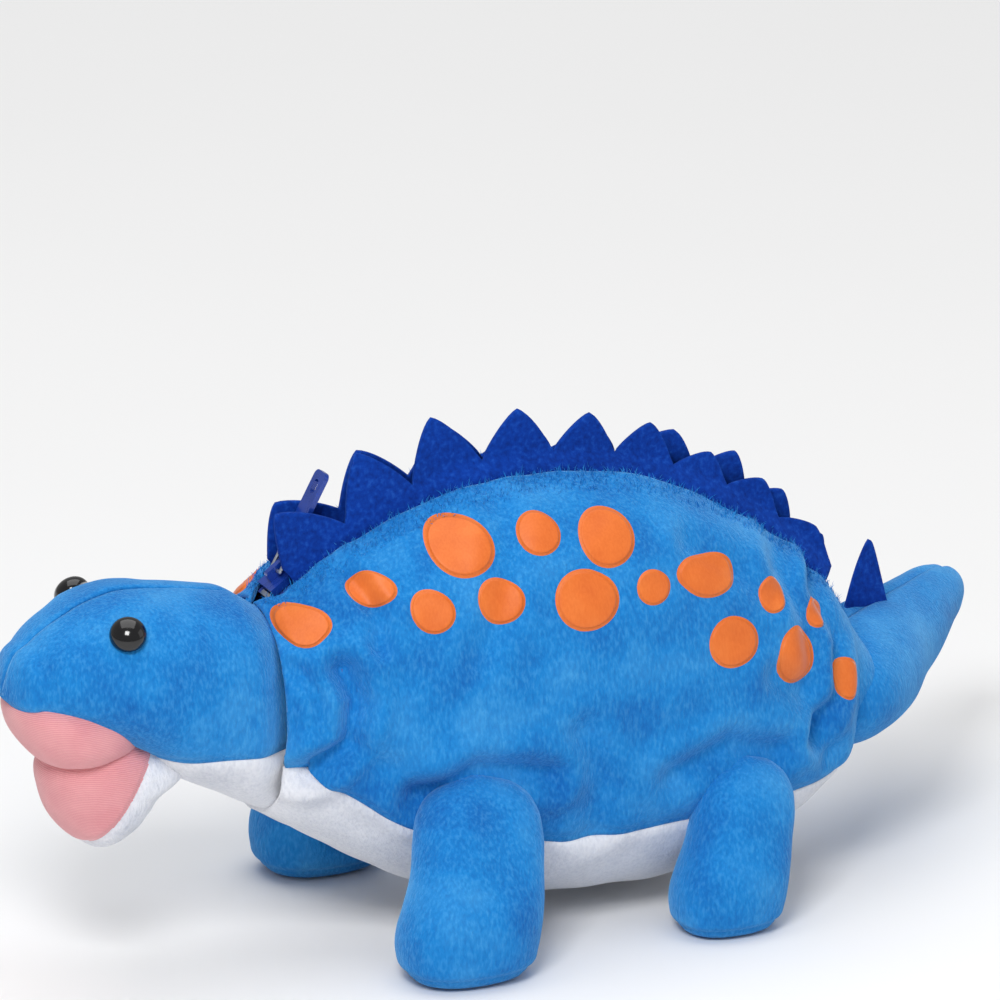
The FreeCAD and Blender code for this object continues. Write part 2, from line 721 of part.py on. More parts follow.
def mouth_parts():
    head_space = head_solid(-sewn_gap)
    save(only_largest(mouth_form(palate_form, 0).cut(head_space)), "mouth_roof_lining")
    above = head_space.fuse(mouth_form(palate_form, -sewn_gap))
    jaw_shell = mouth_form(jaw_form, 0).cut(above).cut(mouth_form(jaw_form, knit))
    pink = Part.makeBox(everything, everything, everything, Vector(-everything, -everything / 2, 0))
    pink.rotate(Vector(0, 0, 0), AXIS_Y, -jaw_edge_tilt)
    pink.translate(Vector(neck_x + jaw_edge[0], 0, jaw_edge[1]))
    save(only_largest(jaw_shell.common(pink)), "jaw_lining")
    pink.translate(AXIS_X * sewn_gap)
    chin = jaw_shell.cut(pink)
    wide = (-everything, everything)
    halves = [block(wide, (-everything, -sewn_gap / 2), wide), block(wide, (sewn_gap / 2, everything), wide)]
    save(Part.Compound([only_largest(chin.common(half)) for half in halves]), "jaw_panel")
    save(only_largest(mouth_form(jaw_form, knit + sewn_gap).cut(above)), "jaw_stuffing")


# ------------------------------------------------------------------ tail and legs
def tail_parts():
    outer = tail_solid(0)
    shell = outer.cut(tail_solid(plush))
    for side, name in SIDES:
        save(along_tail(only_largest(shell.common(half_space(side)))), name + "_tail_panel")
    save(along_tail(tail_solid(plush + sewn_gap)), "tail_stuffing")
    half = tail_spike_base / 2
    low = 0.8 * tail_root_half_height
    high = tail_root_half_height + tail_spike_height
    waist = (low + high) / 2
    peak = Vector(tail_spike_lean, 0, high)
    front = Part.Arc(Vector(-half, 0, low), Vector(tail_spike_lean / 2 - spike_waist * half, 0, waist), peak)
    rear = Part.Arc(peak, Vector(tail_spike_lean + spike_waist * half, 0, waist), Vector(half, 0, low))
    base = Part.makeLine(Vector(half, 0, low), Vector(-half, 0, low))
    spike = Part.Face(Part.Wire([front.toShape(), rear.toShape(), base])).extrude(AXIS_Y * felt)
    spike.translate(Vector(tail_spike_distance, -felt / 2, 0))
    save(along_tail(only_largest(spike.cut(tail_solid(-sewn_gap)))), "tail_spike")


def level_section(z, half_length, half_width, y, points=16):
    outline = []
    for step in range(points):
        turn = 2 * math.pi * step / points
        outline.append(Vector(half_length * math.cos(turn), y + half_width * math.sin(turn), z))
    return closed_curve(outline)


def leg_solid(inset, height):
    """Left leg drawn at X = 0: a round foot that narrows to the seam under the side panel."""
    wires = []
    for height_share, length_share, width_share, shift in leg_stations:
        half_length = foot_half_length * length_share - inset
        half_width = foot_half_width * width_share - inset
        z = inset + height_share * (height - inset)
        wires.append(level_section(z, half_length, half_width, -foot_y - shift))
    top_half_length = foot_half_length * leg_top_share - inset
    top_y = -(leg_hinge_y + leg_top_half_width)
    wires.append(level_section(height - inset, top_half_length, leg_top_half_width - inset, top_y))
    return loft(wires)


def leg_parts():
    wide = (-everything, everything)
    sole_top = plush - sewn_gap / 2
    upper_low = plush + sewn_gap / 2
    below = block(wide, wide, (-plush, sole_top))
    above = block(wide, wide, (upper_low, everything))
    outer_half = block(wide, (-everything, -foot_y - sewn_gap / 2), (0, everything))
    inner_half = block(wide, (-foot_y + sewn_gap / 2, everything), (0, everything))
    for row, x, height in (("front", -foot_x, front_leg_height), ("rear", foot_x, rear_leg_height)):
        shell = leg_solid(0, height).cut(leg_solid(plush, height))
        upper = shell.common(above)
        pieces = {
            "plush": Part.Compound([only_largest(upper.common(half)) for half in (outer_half, inner_half)]),
            "sole": only_largest(shell.common(below)),
            "stuffing": leg_solid(plush + sewn_gap, height).common(above),
        }
        for side, name in SIDES:
            for piece, shape in pieces.items():
                placed = shape.copy() if side < 0 else shape.mirror(Vector(0, 0, 0), AXIS_Y)
                placed.translate(AXIS_X * x)
                save(placed, "_".join((row, name, "leg", piece)))


SIDES = ((-1, "left"), (1, "right"))

os.makedirs("parts", exist_ok=True)
room_for_motion = moving_room()
torso_parts(room_for_motion)
spot_parts(room_for_motion)
zip_parts()
slider_parts()
spike_strips()
head_parts()
mouth_parts()
tail_parts()
leg_parts()
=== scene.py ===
"""Plush stegosaurus pencil pouch: the looks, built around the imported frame.

Metres. The head points to -X, the animal's left side is -Y and +Z is up. MM turns millimetres into metres.
"""
import json
import math

import bmesh
import bpy
import numpy as np
from mathutils import Matrix, Vector


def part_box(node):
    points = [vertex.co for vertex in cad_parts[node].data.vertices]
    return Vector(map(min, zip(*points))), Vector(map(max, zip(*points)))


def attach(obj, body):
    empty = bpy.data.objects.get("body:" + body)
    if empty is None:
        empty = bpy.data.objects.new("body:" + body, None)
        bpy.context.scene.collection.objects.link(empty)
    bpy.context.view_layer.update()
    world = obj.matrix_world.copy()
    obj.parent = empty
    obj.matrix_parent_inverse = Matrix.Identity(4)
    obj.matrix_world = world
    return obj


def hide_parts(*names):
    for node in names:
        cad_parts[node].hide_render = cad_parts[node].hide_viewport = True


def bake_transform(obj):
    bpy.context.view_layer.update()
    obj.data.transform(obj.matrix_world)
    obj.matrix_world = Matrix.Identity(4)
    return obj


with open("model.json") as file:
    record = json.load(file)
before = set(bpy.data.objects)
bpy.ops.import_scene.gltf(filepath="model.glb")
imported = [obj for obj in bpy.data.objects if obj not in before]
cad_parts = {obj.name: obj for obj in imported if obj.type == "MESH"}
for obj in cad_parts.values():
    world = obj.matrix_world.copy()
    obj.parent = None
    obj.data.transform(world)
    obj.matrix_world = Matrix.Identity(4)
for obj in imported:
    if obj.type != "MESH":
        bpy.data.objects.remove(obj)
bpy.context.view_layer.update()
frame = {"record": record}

MM = 0.001
SIDES = ((-1, "left"), (1, "right"))
JOINTS = {joint["name"]: joint for joint in frame["record"]["behaviour"]["joints"]}


def joint_place(name):
    return np.array(JOINTS[name]["pos_m"], float)


# ------------------------------------------------------------------ places that come from the frame
ARC = joint_place("slider_travel")
MOUTH_FRONT = joint_place("left_back_open")
MOUTH_AXIS = np.array(JOINTS["left_back_open"]["axis"], float)
NECK = joint_place("head_nod")
TAIL = joint_place("tail_swing")
ZIP_RADIUS = float(np.linalg.norm(MOUTH_FRONT - ARC))
TO_FRONT = MOUTH_FRONT - ARC
MOUTH_REAR = MOUTH_FRONT - 2 * MOUTH_AXIS * float(TO_FRONT @ MOUTH_AXIS)
FRONT_ANGLE = math.atan2(TO_FRONT[0], TO_FRONT[2])
REAR_ANGLE = math.atan2((MOUTH_REAR - ARC)[0], (MOUTH_REAR - ARC)[2])

RIDGE_RISE = 3.0 * MM         # the plush edge above the zip
RIDGE_RADIUS = ZIP_RADIUS + RIDGE_RISE
RIDGE_HALF_WIDTH = 7.0 * MM   # from the middle plane to the plush edge
PLUSH = 1.8 * MM
FELT_THICKNESS = 1.5 * MM
LINING = 0.6 * MM
LINING_INSET = 5.6 * MM       # from the torso's form to the bag inside
CREASE_X = NECK[0] + 12.5 * MM   # where the neck folds against the torso
RUMP_X = TAIL[0] - 1.5 * MM      # where the torso closes round the tail's root
TAIL_REST = math.radians(41.1)   # the tail's bend towards the right side at rest
SKIN_REAR = RUMP_X + 9 * MM


# ------------------------------------------------------------------ numbers
def smooth_curve(stations, x):
    """Smooth curve through (place, value) pairs."""
    places = np.array([place for place, _ in stations]) * MM
    values = np.array([value for _, value in stations]) * MM
    slopes = np.gradient(values, places)
    x = np.clip(x, places[0], places[-1])
    index = np.clip(np.searchsorted(places, x) - 1, 0, len(places) - 2)
    step = places[index + 1] - places[index]
    t = (x - places[index]) / step
    before = values[index] * (1 + 2 * t) * (1 - t) ** 2 + slopes[index] * step * t * (1 - t) ** 2
    after = values[index + 1] * t * t * (3 - 2 * t) + slopes[index + 1] * step * t * t * (t - 1)
    return before + after


def smooth_shares(stations, x):
    """Smooth curve of plain ratios through (place in mm, ratio) pairs."""
    return smooth_curve([(place, share / MM) for place, share in stations], x)


def ease(low, high, value):
    """Smooth step from 0 at low to 1 at high."""
    t = np.clip((value - low) / (high - low), 0, 1)
    return t * t * (3 - 2 * t)


def lumps(x, y, z, size, seed):
    """Soft uneven relief between -1 and 1, with bumps of about the size given."""
    total = 0.0
    generator = np.random.default_rng(seed)
    waves = 7
    for _ in range(waves):
        direction = generator.normal(size=3)
        direction /= np.linalg.norm(direction)
        pitch = size * generator.uniform(0.7, 1.6)
        phase = generator.uniform(0, 2 * math.pi)
        travel = x * direction[0] + y * direction[1] + z * direction[2]
        total = total + np.sin(travel * 2 * math.pi / pitch + phase)
    return total / waves


def distance_to_line(x, z, points):
    """Distance in the side view from places to a line of points."""
    nearest = np.full(np.shape(x), 1.0)
    for (x0, z0), (x1, z1) in zip(points, points[1:]):
        run = np.array([x1 - x0, z1 - z0]) * MM
        dx = x - x0 * MM
        dz = z - z0 * MM
        t = np.clip((dx * run[0] + dz * run[1]) / (run @ run), 0, 1)
        nearest = np.minimum(nearest, np.hypot(dx - t * run[0], dz - t * run[1]))
    return nearest


# ------------------------------------------------------------------ the torso's form
# Sections of the torso: X in mm, and a height or half width in mm.
TORSO_BOTTOM = [(-92, 46), (-80, 39), (-60, 27), (-37, 13.5), (0, 4.5), (35, 4.5), (60, 10.5),
                (80, 21), (96, 33), (112, 44)]
TORSO_HALF_WIDTH = [(-92, 24.5), (-78, 26.5), (-60, 31.5), (-35, 38), (0, 40.5), (35, 40), (60, 36.5),
                    (78, 31), (90, 24.5), (112, 15)]
BELLY_SEAM = [(-118, 63.5), (-108, 63), (-90, 60.5), (-71, 53), (-46, 39), (-5, 29.5), (29, 30),
              (60, 31), (105, 33)]
WIDEST_SHARE = 0.46

# Folds in the plush of the sides: places (X, Z) in mm along the fold, depth and half width in mm.
FOLDS = [
    ([(-65, 84), (-62, 76), (-65, 64), (-75, 56)], 3.6, 3.4),
    ([(-58, 106), (-54, 98), (-55, 90)], 1.4, 2.6),
    ([(-76, 84), (-72, 78), (-71, 68)], 1.2, 2.2),
    ([(-46, 47), (-30, 54), (-10, 50)], 2.6, 4.0),
    ([(-60, 60), (-48, 50), (-38, 40)], 1.6, 4.5),
    ([(0, 60), (5, 46), (4, 32)], 1.5, 4.5),
    ([(26, 44), (42, 50), (58, 45)], 2.2, 4.0),
    ([(66, 92), (72, 78), (70, 62)], 1.6, 4.0),
    ([(78, 84), (82, 70), (78, 56), (70, 46)], 2.2, 3.0),
    ([(58, 66), (70, 56), (76, 40)], 1.6, 3.6),
    ([(36, 104), (50, 96), (60, 86)], 0.9, 3.0),
    ([(-14, 118), (-20, 100), (-30, 84)], 0.8, 4.0),
]

# Satin spots on each side: X, Z, half length, half height in mm, and which way a pointed one points.
SPOTS = [
    (-73.4, 94.2, 5.5, 4.9, 15), (-54.2, 102.6, 5.3, 3.5, None), (-40.2, 96.7, 5.0, 4.7, None),
    (-28.8, 110.8, 7.7, 6.4, None), (-21.4, 97.7, 5.6, 5.0, None), (-6.8, 111.3, 5.2, 4.4, None),
    (12.0, 107.9, 7.0, 6.1, None), (2.6, 94.8, 7.9, 6.6, None), (22.5, 94.9, 4.5, 3.7, None),
    (41.4, 94.5, 8.6, 5.0, 150), (60.3, 85.6, 4.2, 3.7, None), (76.1, 77.6, 3.5, 3.2, None),
    (45.0, 77.6, 6.6, 5.8, None), (65.5, 69.8, 6.0, 6.6, None), (82.5, 59.1, 3.0, 5.0, None),
]


def torso_top(x):
    """Height of the plush edge along the spine, level over the neck."""
    arc = ARC[2] + np.sqrt(np.maximum(RIDGE_RADIUS ** 2 - (x - ARC[0]) ** 2, 0))
    neck_level = NECK[2] + 24.0 * MM
    return np.where(x < ARC[0], np.maximum(arc, neck_level), arc)


def torso_section(x):
    bottom = smooth_curve(TORSO_BOTTOM, x)
    top = torso_top(x)
    half_width = smooth_curve(TORSO_HALF_WIDTH, x)
    tuck_front = 3.6 * MM * (1 - ease(-1 * MM, 6 * MM, x - CREASE_X)) ** 1.5
    tuck_rear = 3.0 * MM * ease(RUMP_X - 7 * MM, RUMP_X, x) ** 2
    tuck = tuck_front + tuck_rear
    widest = bottom + WIDEST_SHARE * (top - bottom)
    return bottom + tuck_rear, widest, top - tuck, half_width - tuck


def torso_base(x, turn, inset=0.0):
    bottom, widest, top, half_width = torso_section(x)
    rise = np.sin(turn)
    reach = np.where(rise > 0, top - widest, widest - bottom) - inset
    fullness = 1.0 + 0.035 * np.sin(2 * turn) ** 2
    return np.stack([x, (half_width - inset) * np.cos(turn) * fullness, widest + reach * rise * fullness], -1)


def turn_at_height(x, z):
    bottom, widest, top, _ = torso_section(x)
    reach = np.where(z > widest, top - widest, widest - bottom)
    return np.arcsin(np.clip((z - widest) / reach, -1, 1))


def surface_normal(base, x, turn):
    """Outward direction of a surface given as base(x, turn)."""
    small_x, small_turn = 0.2 * MM, 0.002
    along = base(x + small_x, turn) - base(x - small_x, turn)
    around = base(x, turn + small_turn) - base(x, turn - small_turn)
    normal = np.cross(around, along)
    length = np.linalg.norm(normal, axis=-1, keepdims=True)
    return normal / np.maximum(length, 1e-12)


def side_relief(x, z, side):
    """Folds, pressed spots and soft unevenness of the side plush."""
    relief = 1.5 * MM * lumps(x, side * 0.04, z, 46 * MM, 3) + 0.5 * MM * lumps(x, side * 0.02, z, 15 * MM, 4)
    for points, depth, width in FOLDS:
        away = distance_to_line(x, z, points) / (width * MM)
        groove = 1.4 * np.exp(-away ** 2)
        swelling = 0.5 * np.exp(-((away - 2.0) / 0.9) ** 2)
        relief = relief + depth * MM * (swelling - groove)
    for spot in SPOTS:
        relief = relief - 0.45 * MM * (1 - ease(1.0, 1.35, spot_radius(x, z, spot)))
    return relief


def spot_radius(x, z, spot):
    """1 on a spot's outline, less inside it."""
    spot_x, spot_z, half_length, half_height, point_angle = spot
    dx = (x - spot_x * MM) / (half_length * MM)
    dz = (z - spot_z * MM) / (half_height * MM)
    return np.hypot(dx, dz) / spot_outline(np.arctan2(dz, dx), point_angle)


def spot_outline(turn, point_angle):
    """Radius of a spot against its half sizes: round, or drawn out to a point on one side."""
    if point_angle is None:
        return 1.0 + 0.03 * np.cos(2 * turn + 0.7) + 0.02 * np.cos(3 * turn)
    towards = np.cos(turn - math.radians(point_angle))
    return 0.9 + 0.34 * np.maximum(towards, 0) ** 5


def torso_point(x, turn, side, lift=0.0):
    base = torso_base(x, turn)
    normal = surface_normal(torso_base, x, turn)
    seam = np.abs(base[..., 2] - smooth_curve(BELLY_SEAM, x)) / (1.6 * MM)
    relief = side_relief(x, base[..., 2], side) - 0.9 * MM * np.exp(-seam ** 2) + lift
    point = base + normal * relief[..., None]
    point[..., 1] *= side
    return point


# ------------------------------------------------------------------ meshes
def grid_object(name, points, wrap_across=False):
    """Mesh object from a grid of points; wrap_across joins the last column to the first."""
    rows, columns = points.shape[:2]
    index = np.arange(rows * columns).reshape(rows, columns)
    after = np.roll(index, -1, axis=1) if wrap_across else index[:, 1:]
    before = index if wrap_across else index[:, :-1]
    faces = np.stack([before[:-1], after[:-1], after[1:], before[1:]], -1).reshape(-1, 4)
    mesh = bpy.data.meshes.new(name)
    mesh.from_pydata(points.reshape(-1, 3).tolist(), [], faces.tolist())
    return finish_mesh(name, mesh)


def finish_mesh(name, mesh):
    """Join doubled points, drop faces without area and link the object."""
    work = bmesh.new()
    work.from_mesh(mesh)
    bmesh.ops.remove_doubles(work, verts=work.verts, dist=0.01 * MM)
    bmesh.ops.dissolve_degenerate(work, edges=work.edges, dist=0.001 * MM)
    work.to_mesh(mesh)
    work.free()
    mesh.shade_smooth()
    piece = bpy.data.objects.new(name, mesh)
    bpy.context.scene.collection.objects.link(piece)
    return piece


def closed_ends(piece):
    """Close the open rims of a tube-like mesh and make it face outwards."""
    work = bmesh.new()
    work.from_mesh(piece.data)
    bmesh.ops.holes_fill(work, edges=[edge for edge in work.edges if edge.is_boundary], sides=0)
    bmesh.ops.recalc_face_normals(work, faces=work.faces)
    work.to_mesh(piece.data)
    work.free()
    piece.data.shade_smooth()
    return piece


def apply_modifiers(piece):
    depsgraph = bpy.context.evaluated_depsgraph_get()
    mesh = bpy.data.meshes.new_from_object(piece.evaluated_get(depsgraph))
    piece.modifiers.clear()
    piece.data = mesh
    return piece


def thicken(piece, thickness):
    """Give a sheet its thickness on the inner side."""
    modifier = piece.modifiers.new("thickness", "SOLIDIFY")
    modifier.thickness = thickness
    modifier.offset = -1
    modifier.use_even_offset = False
    return apply_modifiers(piece)


def thicken_felt(piece):
    """Give a sheet of felt its thickness on both sides."""
    modifier = piece.modifiers.new("thickness", "SOLIDIFY")
    modifier.thickness = FELT_THICKNESS
    modifier.offset = 0
    return apply_modifiers(piece)


def outward(piece, centre_line):
    """Turn a sheet's faces so that they look away from a line along X at the middle of the body."""
    mesh = piece.data
    normals = np.array([polygon.normal for polygon in mesh.polygons])
    centres = np.array([polygon.center for polygon in mesh.polygons])
    away = centres - np.stack([centres[:, 0], np.zeros(len(centres)), centre_line(centres[:, 0])], -1)
    if float((normals * away).sum()) < 0:
        mesh.flip_normals()
    return piece


def paint(piece, *materials):
    piece.data.materials.clear()
    for material in materials:
        piece.data.materials.append(material)


def bend_with_back(piece):
    """Bake the piece's placement into its mesh."""
    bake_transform(piece)


# ------------------------------------------------------------------ materials
def new_material(name):
    material = bpy.data.materials.new(name)
    material.use_nodes = True
    nodes = material.node_tree.nodes
    return material, nodes, material.node_tree.links, nodes["Principled BSDF"]


def noise(nodes, links, scale, detail=3.0, stretch=None):
    """Noise texture in object space; stretch makes its grains long and thin."""
    place = nodes.new("ShaderNodeTexCoord")
    texture = nodes.new("ShaderNodeTexNoise")
    texture.inputs["Scale"].default_value = scale
    texture.inputs["Detail"].default_value = detail
    source = place.outputs["Object"]
    if stretch:
        mapping = nodes.new("ShaderNodeMapping")
        mapping.inputs["Scale"].default_value = stretch
        links.new(source, mapping.inputs["Vector"])
        source = mapping.outputs["Vector"]
    links.new(source, texture.inputs["Vector"])
    return texture.outputs["Fac"]


def waves(nodes, links, scale, direction, distortion=0.0):
    place = nodes.new("ShaderNodeTexCoord")
    texture = nodes.new("ShaderNodeTexWave")
    texture.bands_direction = direction
    texture.inputs["Scale"].default_value = scale
    texture.inputs["Distortion"].default_value = distortion
    texture.inputs["Detail"].default_value = 1.0
    links.new(place.outputs["Object"], texture.inputs["Vector"])
    return texture.outputs["Fac"]


def colour_steps(nodes, links, value, steps):
    ramp = nodes.new("ShaderNodeValToRGB")
    elements = ramp.color_ramp.elements
    while len(elements) < len(steps):
        elements.new(0.5)
    for element, (position, colour) in zip(elements, steps):
        element.position = position
        element.color = (*colour, 1.0)
    links.new(value, ramp.inputs["Fac"])
    return ramp.outputs["Color"]


def mixed(nodes, links, factor, first, second):
    mix = nodes.new("ShaderNodeMix")
    mix.data_type = "RGBA"
    for socket, value in ((mix.inputs["Factor"], factor), (mix.inputs["A"], first), (mix.inputs["B"], second)):
        if hasattr(value, "is_linked"):
            links.new(value, socket)
        else:
            socket.default_value = value
    return mix.outputs["Result"]


def bumps(nodes, links, shader, layers):
    """Stack bump layers: each is a height value, a strength and a depth in metres."""
    normal = None
    for height, strength, depth in layers:
        bump = nodes.new("ShaderNodeBump")
        bump.inputs["Strength"].default_value = strength
        bump.inputs["Distance"].default_value = depth
        links.new(height, bump.inputs["Height"])
        if normal:
            links.new(normal, bump.inputs["Normal"])
        normal = bump.outputs["Normal"]
    links.new(normal, shader.inputs["Normal"])


def linear(red, green, blue):
    """Shader colour of an sRGB colour given from 0 to 255."""
    return tuple(((c / 255 + 0.055) / 1.055) ** 2.4 for c in (red, green, blue))


def plush_material(name, deep, middle, light, sheen):
    """Short-pile plush: brushed patches, fine pile and a velvety edge."""
    material, nodes, links, shader = new_material(name)
    patches = noise(nodes, links, 55.0, 4.0)
    pile = noise(nodes, links, 2600.0, 2.0, (1.0, 1.0, 0.45))
    strands = noise(nodes, links, 1150.0, 2.0, (1.0, 1.0, 0.4))
    brushed = colour_steps(nodes, links, patches, [(0.28, deep), (0.52, middle), (0.82, light)])
    fibres = colour_steps(nodes, links, strands, [(0.3, deep), (0.5, middle), (0.7, light)])
    links.new(mixed(nodes, links, 0.34, brushed, fibres), shader.inputs["Base Color"])
    shader.inputs["Roughness"].default_value = 0.88
    shader.inputs["Specular IOR Level"].default_value = 0.25
    shader.inputs["Sheen Weight"].default_value = 0.55
    shader.inputs["Sheen Roughness"].default_value = 0.42
    shader.inputs["Sheen Tint"].default_value = (*sheen, 1.0)
    bumps(nodes, links, shader, [(patches, 0.35, 1.2 * MM), (strands, 0.6, 0.5 * MM), (pile, 0.75, 0.3 * MM)])
    return material


def felt_material(name, middle, light, dark):
    """Pressed felt: matted fibres without a direction."""
    material, nodes, links, shader = new_material(name)
    matted = noise(nodes, links, 700.0, 6.0)
    fibres = noise(nodes, links, 2400.0, 4.0, (1.0, 1.0, 0.3))
    cloudy = noise(nodes, links, 60.0, 3.0)
    tone = colour_steps(nodes, links, matted, [(0.3, dark), (0.55, middle), (0.8, light)])
    cloud = colour_steps(nodes, links, cloudy, [(0.3, dark), (0.6, middle)])
    links.new(mixed(nodes, links, 0.3, tone, cloud), shader.inputs["Base Color"])
    shader.inputs["Roughness"].default_value = 0.95
    shader.inputs["Specular IOR Level"].default_value = 0.15
    shader.inputs["Sheen Weight"].default_value = 0.3
    shader.inputs["Sheen Roughness"].default_value = 0.6
    shader.inputs["Sheen Tint"].default_value = (*light, 1.0)
    bumps(nodes, links, shader, [(matted, 0.5, 0.35 * MM), (fibres, 0.5, 0.15 * MM)])
    return material


def knit_material(name, middle, dark, light):
    """Fine ribbed knit of the mouth."""
    material, nodes, links, shader = new_material(name)
    ribs = waves(nodes, links, 620.0, "Z", 1.6)
    stitches = waves(nodes, links, 700.0, "Y", 2.0)
    cloudy = noise(nodes, links, 90.0, 3.0)
    tone = colour_steps(nodes, links, ribs, [(0.15, dark), (0.6, middle), (0.95, light)])
    cloud = colour_steps(nodes, links, cloudy, [(0.35, middle), (0.7, light)])
    links.new(mixed(nodes, links, 0.5, tone, cloud), shader.inputs["Base Color"])
    shader.inputs["Roughness"].default_value = 0.8
    shader.inputs["Specular IOR Level"].default_value = 0.3
    shader.inputs["Sheen Weight"].default_value = 0.3
    shader.inputs["Sheen Roughness"].default_value = 0.5
    bumps(nodes, links, shader, [(cloudy, 0.3, 0.8 * MM), (ribs, 0.4, 0.2 * MM), (stitches, 0.3, 0.15 * MM)])
    return material


def satin_material(name, middle, dark, light):
    """Heat-pressed satin: a smooth face that scatters light softly, with a fine fabric grain."""
    material, nodes, links, shader = new_material(name)
    grain = noise(nodes, links, 1800.0, 2.0, (1.0, 1.0, 0.25))
    cloudy = noise(nodes, links, 120.0, 3.0)
    tone = colour_steps(nodes, links, cloudy, [(0.3, dark), (0.55, middle), (0.8, light)])
    fine = colour_steps(nodes, links, grain, [(0.35, dark), (0.65, light)])
    links.new(mixed(nodes, links, 0.25, tone, fine), shader.inputs["Base Color"])
    shader.inputs["Roughness"].default_value = 0.5
    shader.inputs["Specular IOR Level"].default_value = 0.4
    shader.inputs["Sheen Weight"].default_value = 0.25
    shader.inputs["Sheen Roughness"].default_value = 0.3
    bumps(nodes, links, shader, [(cloudy, 0.25, 0.6 * MM), (grain, 0.35, 0.12 * MM)])
    return material


def woven_material(name, middle, dark, thread_scale, roughness):
    """Plain weave: two crossing sets of threads."""
    material, nodes, links, shader = new_material(name)
    warp = waves(nodes, links, thread_scale, "X")
    weft = waves(nodes, links, thread_scale, "Z")
    cross = nodes.new("ShaderNodeMath")
    cross.operation = "MULTIPLY"
    links.new(warp, cross.inputs[0])
    links.new(weft, cross.inputs[1])
    cloudy = noise(nodes, links, 45.0, 3.0)
    tone = colour_steps(nodes, links, cross.outputs["Value"], [(0.0, dark), (0.6, middle)])
    cloud = colour_steps(nodes, links, cloudy, [(0.3, dark), (0.6, middle)])
    links.new(mixed(nodes, links, 0.4, tone, cloud), shader.inputs["Base Color"])
    shader.inputs["Roughness"].default_value = roughness
    shader.inputs["Sheen Weight"].default_value = 0.15
    bumps(nodes, links, shader, [(cross.outputs["Value"], 0.5, 0.15 * MM), (cloudy, 0.3, 0.8 * MM)])
    return material


def solid_material(name, colour, roughness, metallic=0.0, coat=0.0):
    """Moulded plastic, enamel or metal with slight wear."""
    material, nodes, links, shader = new_material(name)
    wear = noise(nodes, links, 350.0, 4.0)
    darker = tuple(0.82 * c for c in colour)
    links.new(colour_steps(nodes, links, wear, [(0.3, darker), (0.65, colour)]), shader.inputs["Base Color"])
    links.new(colour_steps(nodes, links, wear, [(0.2, (roughness * 0.8,) * 3), (0.8, (roughness * 1.25,) * 3)]),
              shader.inputs["Roughness"])
    shader.inputs["Metallic"].default_value = metallic
    shader.inputs["Coat Weight"].default_value = coat
    shader.inputs["Coat Roughness"].default_value = 0.04
    bumps(nodes, links, shader, [(wear, 0.08, 0.1 * MM)])
    return material


BLUE_PLUSH = plush_material("blue_plush_pile", linear(4, 92, 172), linear(20, 128, 204), linear(76, 164, 226),
                            linear(150, 210, 255))
WHITE_PLUSH = plush_material("white_plush_pile", linear(196, 200, 212), linear(226, 228, 235), linear(243, 244, 248),
                             linear(255, 255, 255))
FELT = felt_material("royal_blue_felt", linear(6, 58, 156), linear(34, 92, 190), linear(0, 38, 118))
HALO = plush_material("pressed_plush_rim", linear(70, 140, 215), linear(110, 175, 235), linear(150, 205, 250),
                      linear(200, 230, 255))
ORANGE = satin_material("orange_satin", linear(226, 112, 40), linear(216, 102, 34), linear(233, 126, 54))
PINK = knit_material("pink_knit", linear(222, 146, 152), linear(206, 124, 132), linear(236, 170, 173))
NYLON = woven_material("blue_nylon_weave", linear(78, 112, 182), linear(48, 78, 150), 900.0, 0.45)
TAPE = woven_material("blue_zip_tape_weave", linear(20, 66, 170), linear(8, 38, 120), 1500.0, 0.7)
COIL = solid_material("blue_zip_coil_nylon", linear(18, 70, 180), 0.32)
METAL = solid_material("pale_zip_metal", linear(196, 202, 210), 0.3, metallic=0.9)
ENAMEL = solid_material("blue_zip_enamel", linear(20, 62, 160), 0.28, metallic=0.2, coat=0.4)
EYE = solid_material("black_eye_gloss", (0.002, 0.002, 0.003), 0.12, coat=0.3)
WASHER = solid_material("white_washer_plastic", linear(228, 228, 224), 0.5)


# ------------------------------------------------------------------ torso pieces
# Grid sizes of the torso's cloth pieces: rows along the body and columns round each side.
ROWS = 210
SIDE_COLUMNS = 96


def torso_middle(x):
    """Height halfway between the belly and the back."""
    return 0.5 * (smooth_curve(TORSO_BOTTOM, x) + torso_top(x))


def ridge_half_width(x):
    """The slot for the zip closes at both ends."""
    front = ease(-81 * MM, -73 * MM, x)
    rear = 1 - ease(86 * MM, 95 * MM, x)
    return 0.4 * MM + (RIDGE_HALF_WIDTH - 0.4 * MM) * front * rear


def side_turns(x):
    """Turn about the section's middle at the belly seam and at the plush edge."""
    _, _, _, half_width = torso_section(x)
    seam = turn_at_height(x, smooth_curve(BELLY_SEAM, x))
    edge = np.arccos(np.clip(ridge_half_width(x) / half_width, 0, 1))
    return seam, edge


def side_skin(side, name):
    """Blue plush of one side, from the belly seam over the bulge to a rolled edge beside the zip."""
    x = np.linspace(CREASE_X, SKIN_REAR, ROWS)[:, None] * np.ones((1, SIDE_COLUMNS))
    share = np.linspace(0, 1, SIDE_COLUMNS)[None, :]
    seam, edge = side_turns(x)
    skin = torso_point(x, seam + (edge - seam) * share, side)
    rolled = []
    for inwards, down in ((0.3, 0.5), (0.5, 1.4), (0.5, 3.4)):
        last = skin[:, -1].copy()
        last[:, 1] -= side * np.minimum(inwards * MM, np.abs(last[:, 1]) - 0.1 * MM)
        last[:, 2] -= down * MM
        rolled.append(last)
    points = np.concatenate([skin] + [row[:, None] for row in rolled], axis=1)
    piece = outward(grid_object(name + "_side_skin", points), torso_middle)
    thicken(piece, PLUSH)
    paint(piece, BLUE_PLUSH)
    bend_with_back(piece)
    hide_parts(name + "_side_panel", name + "_back_panel")
    return piece


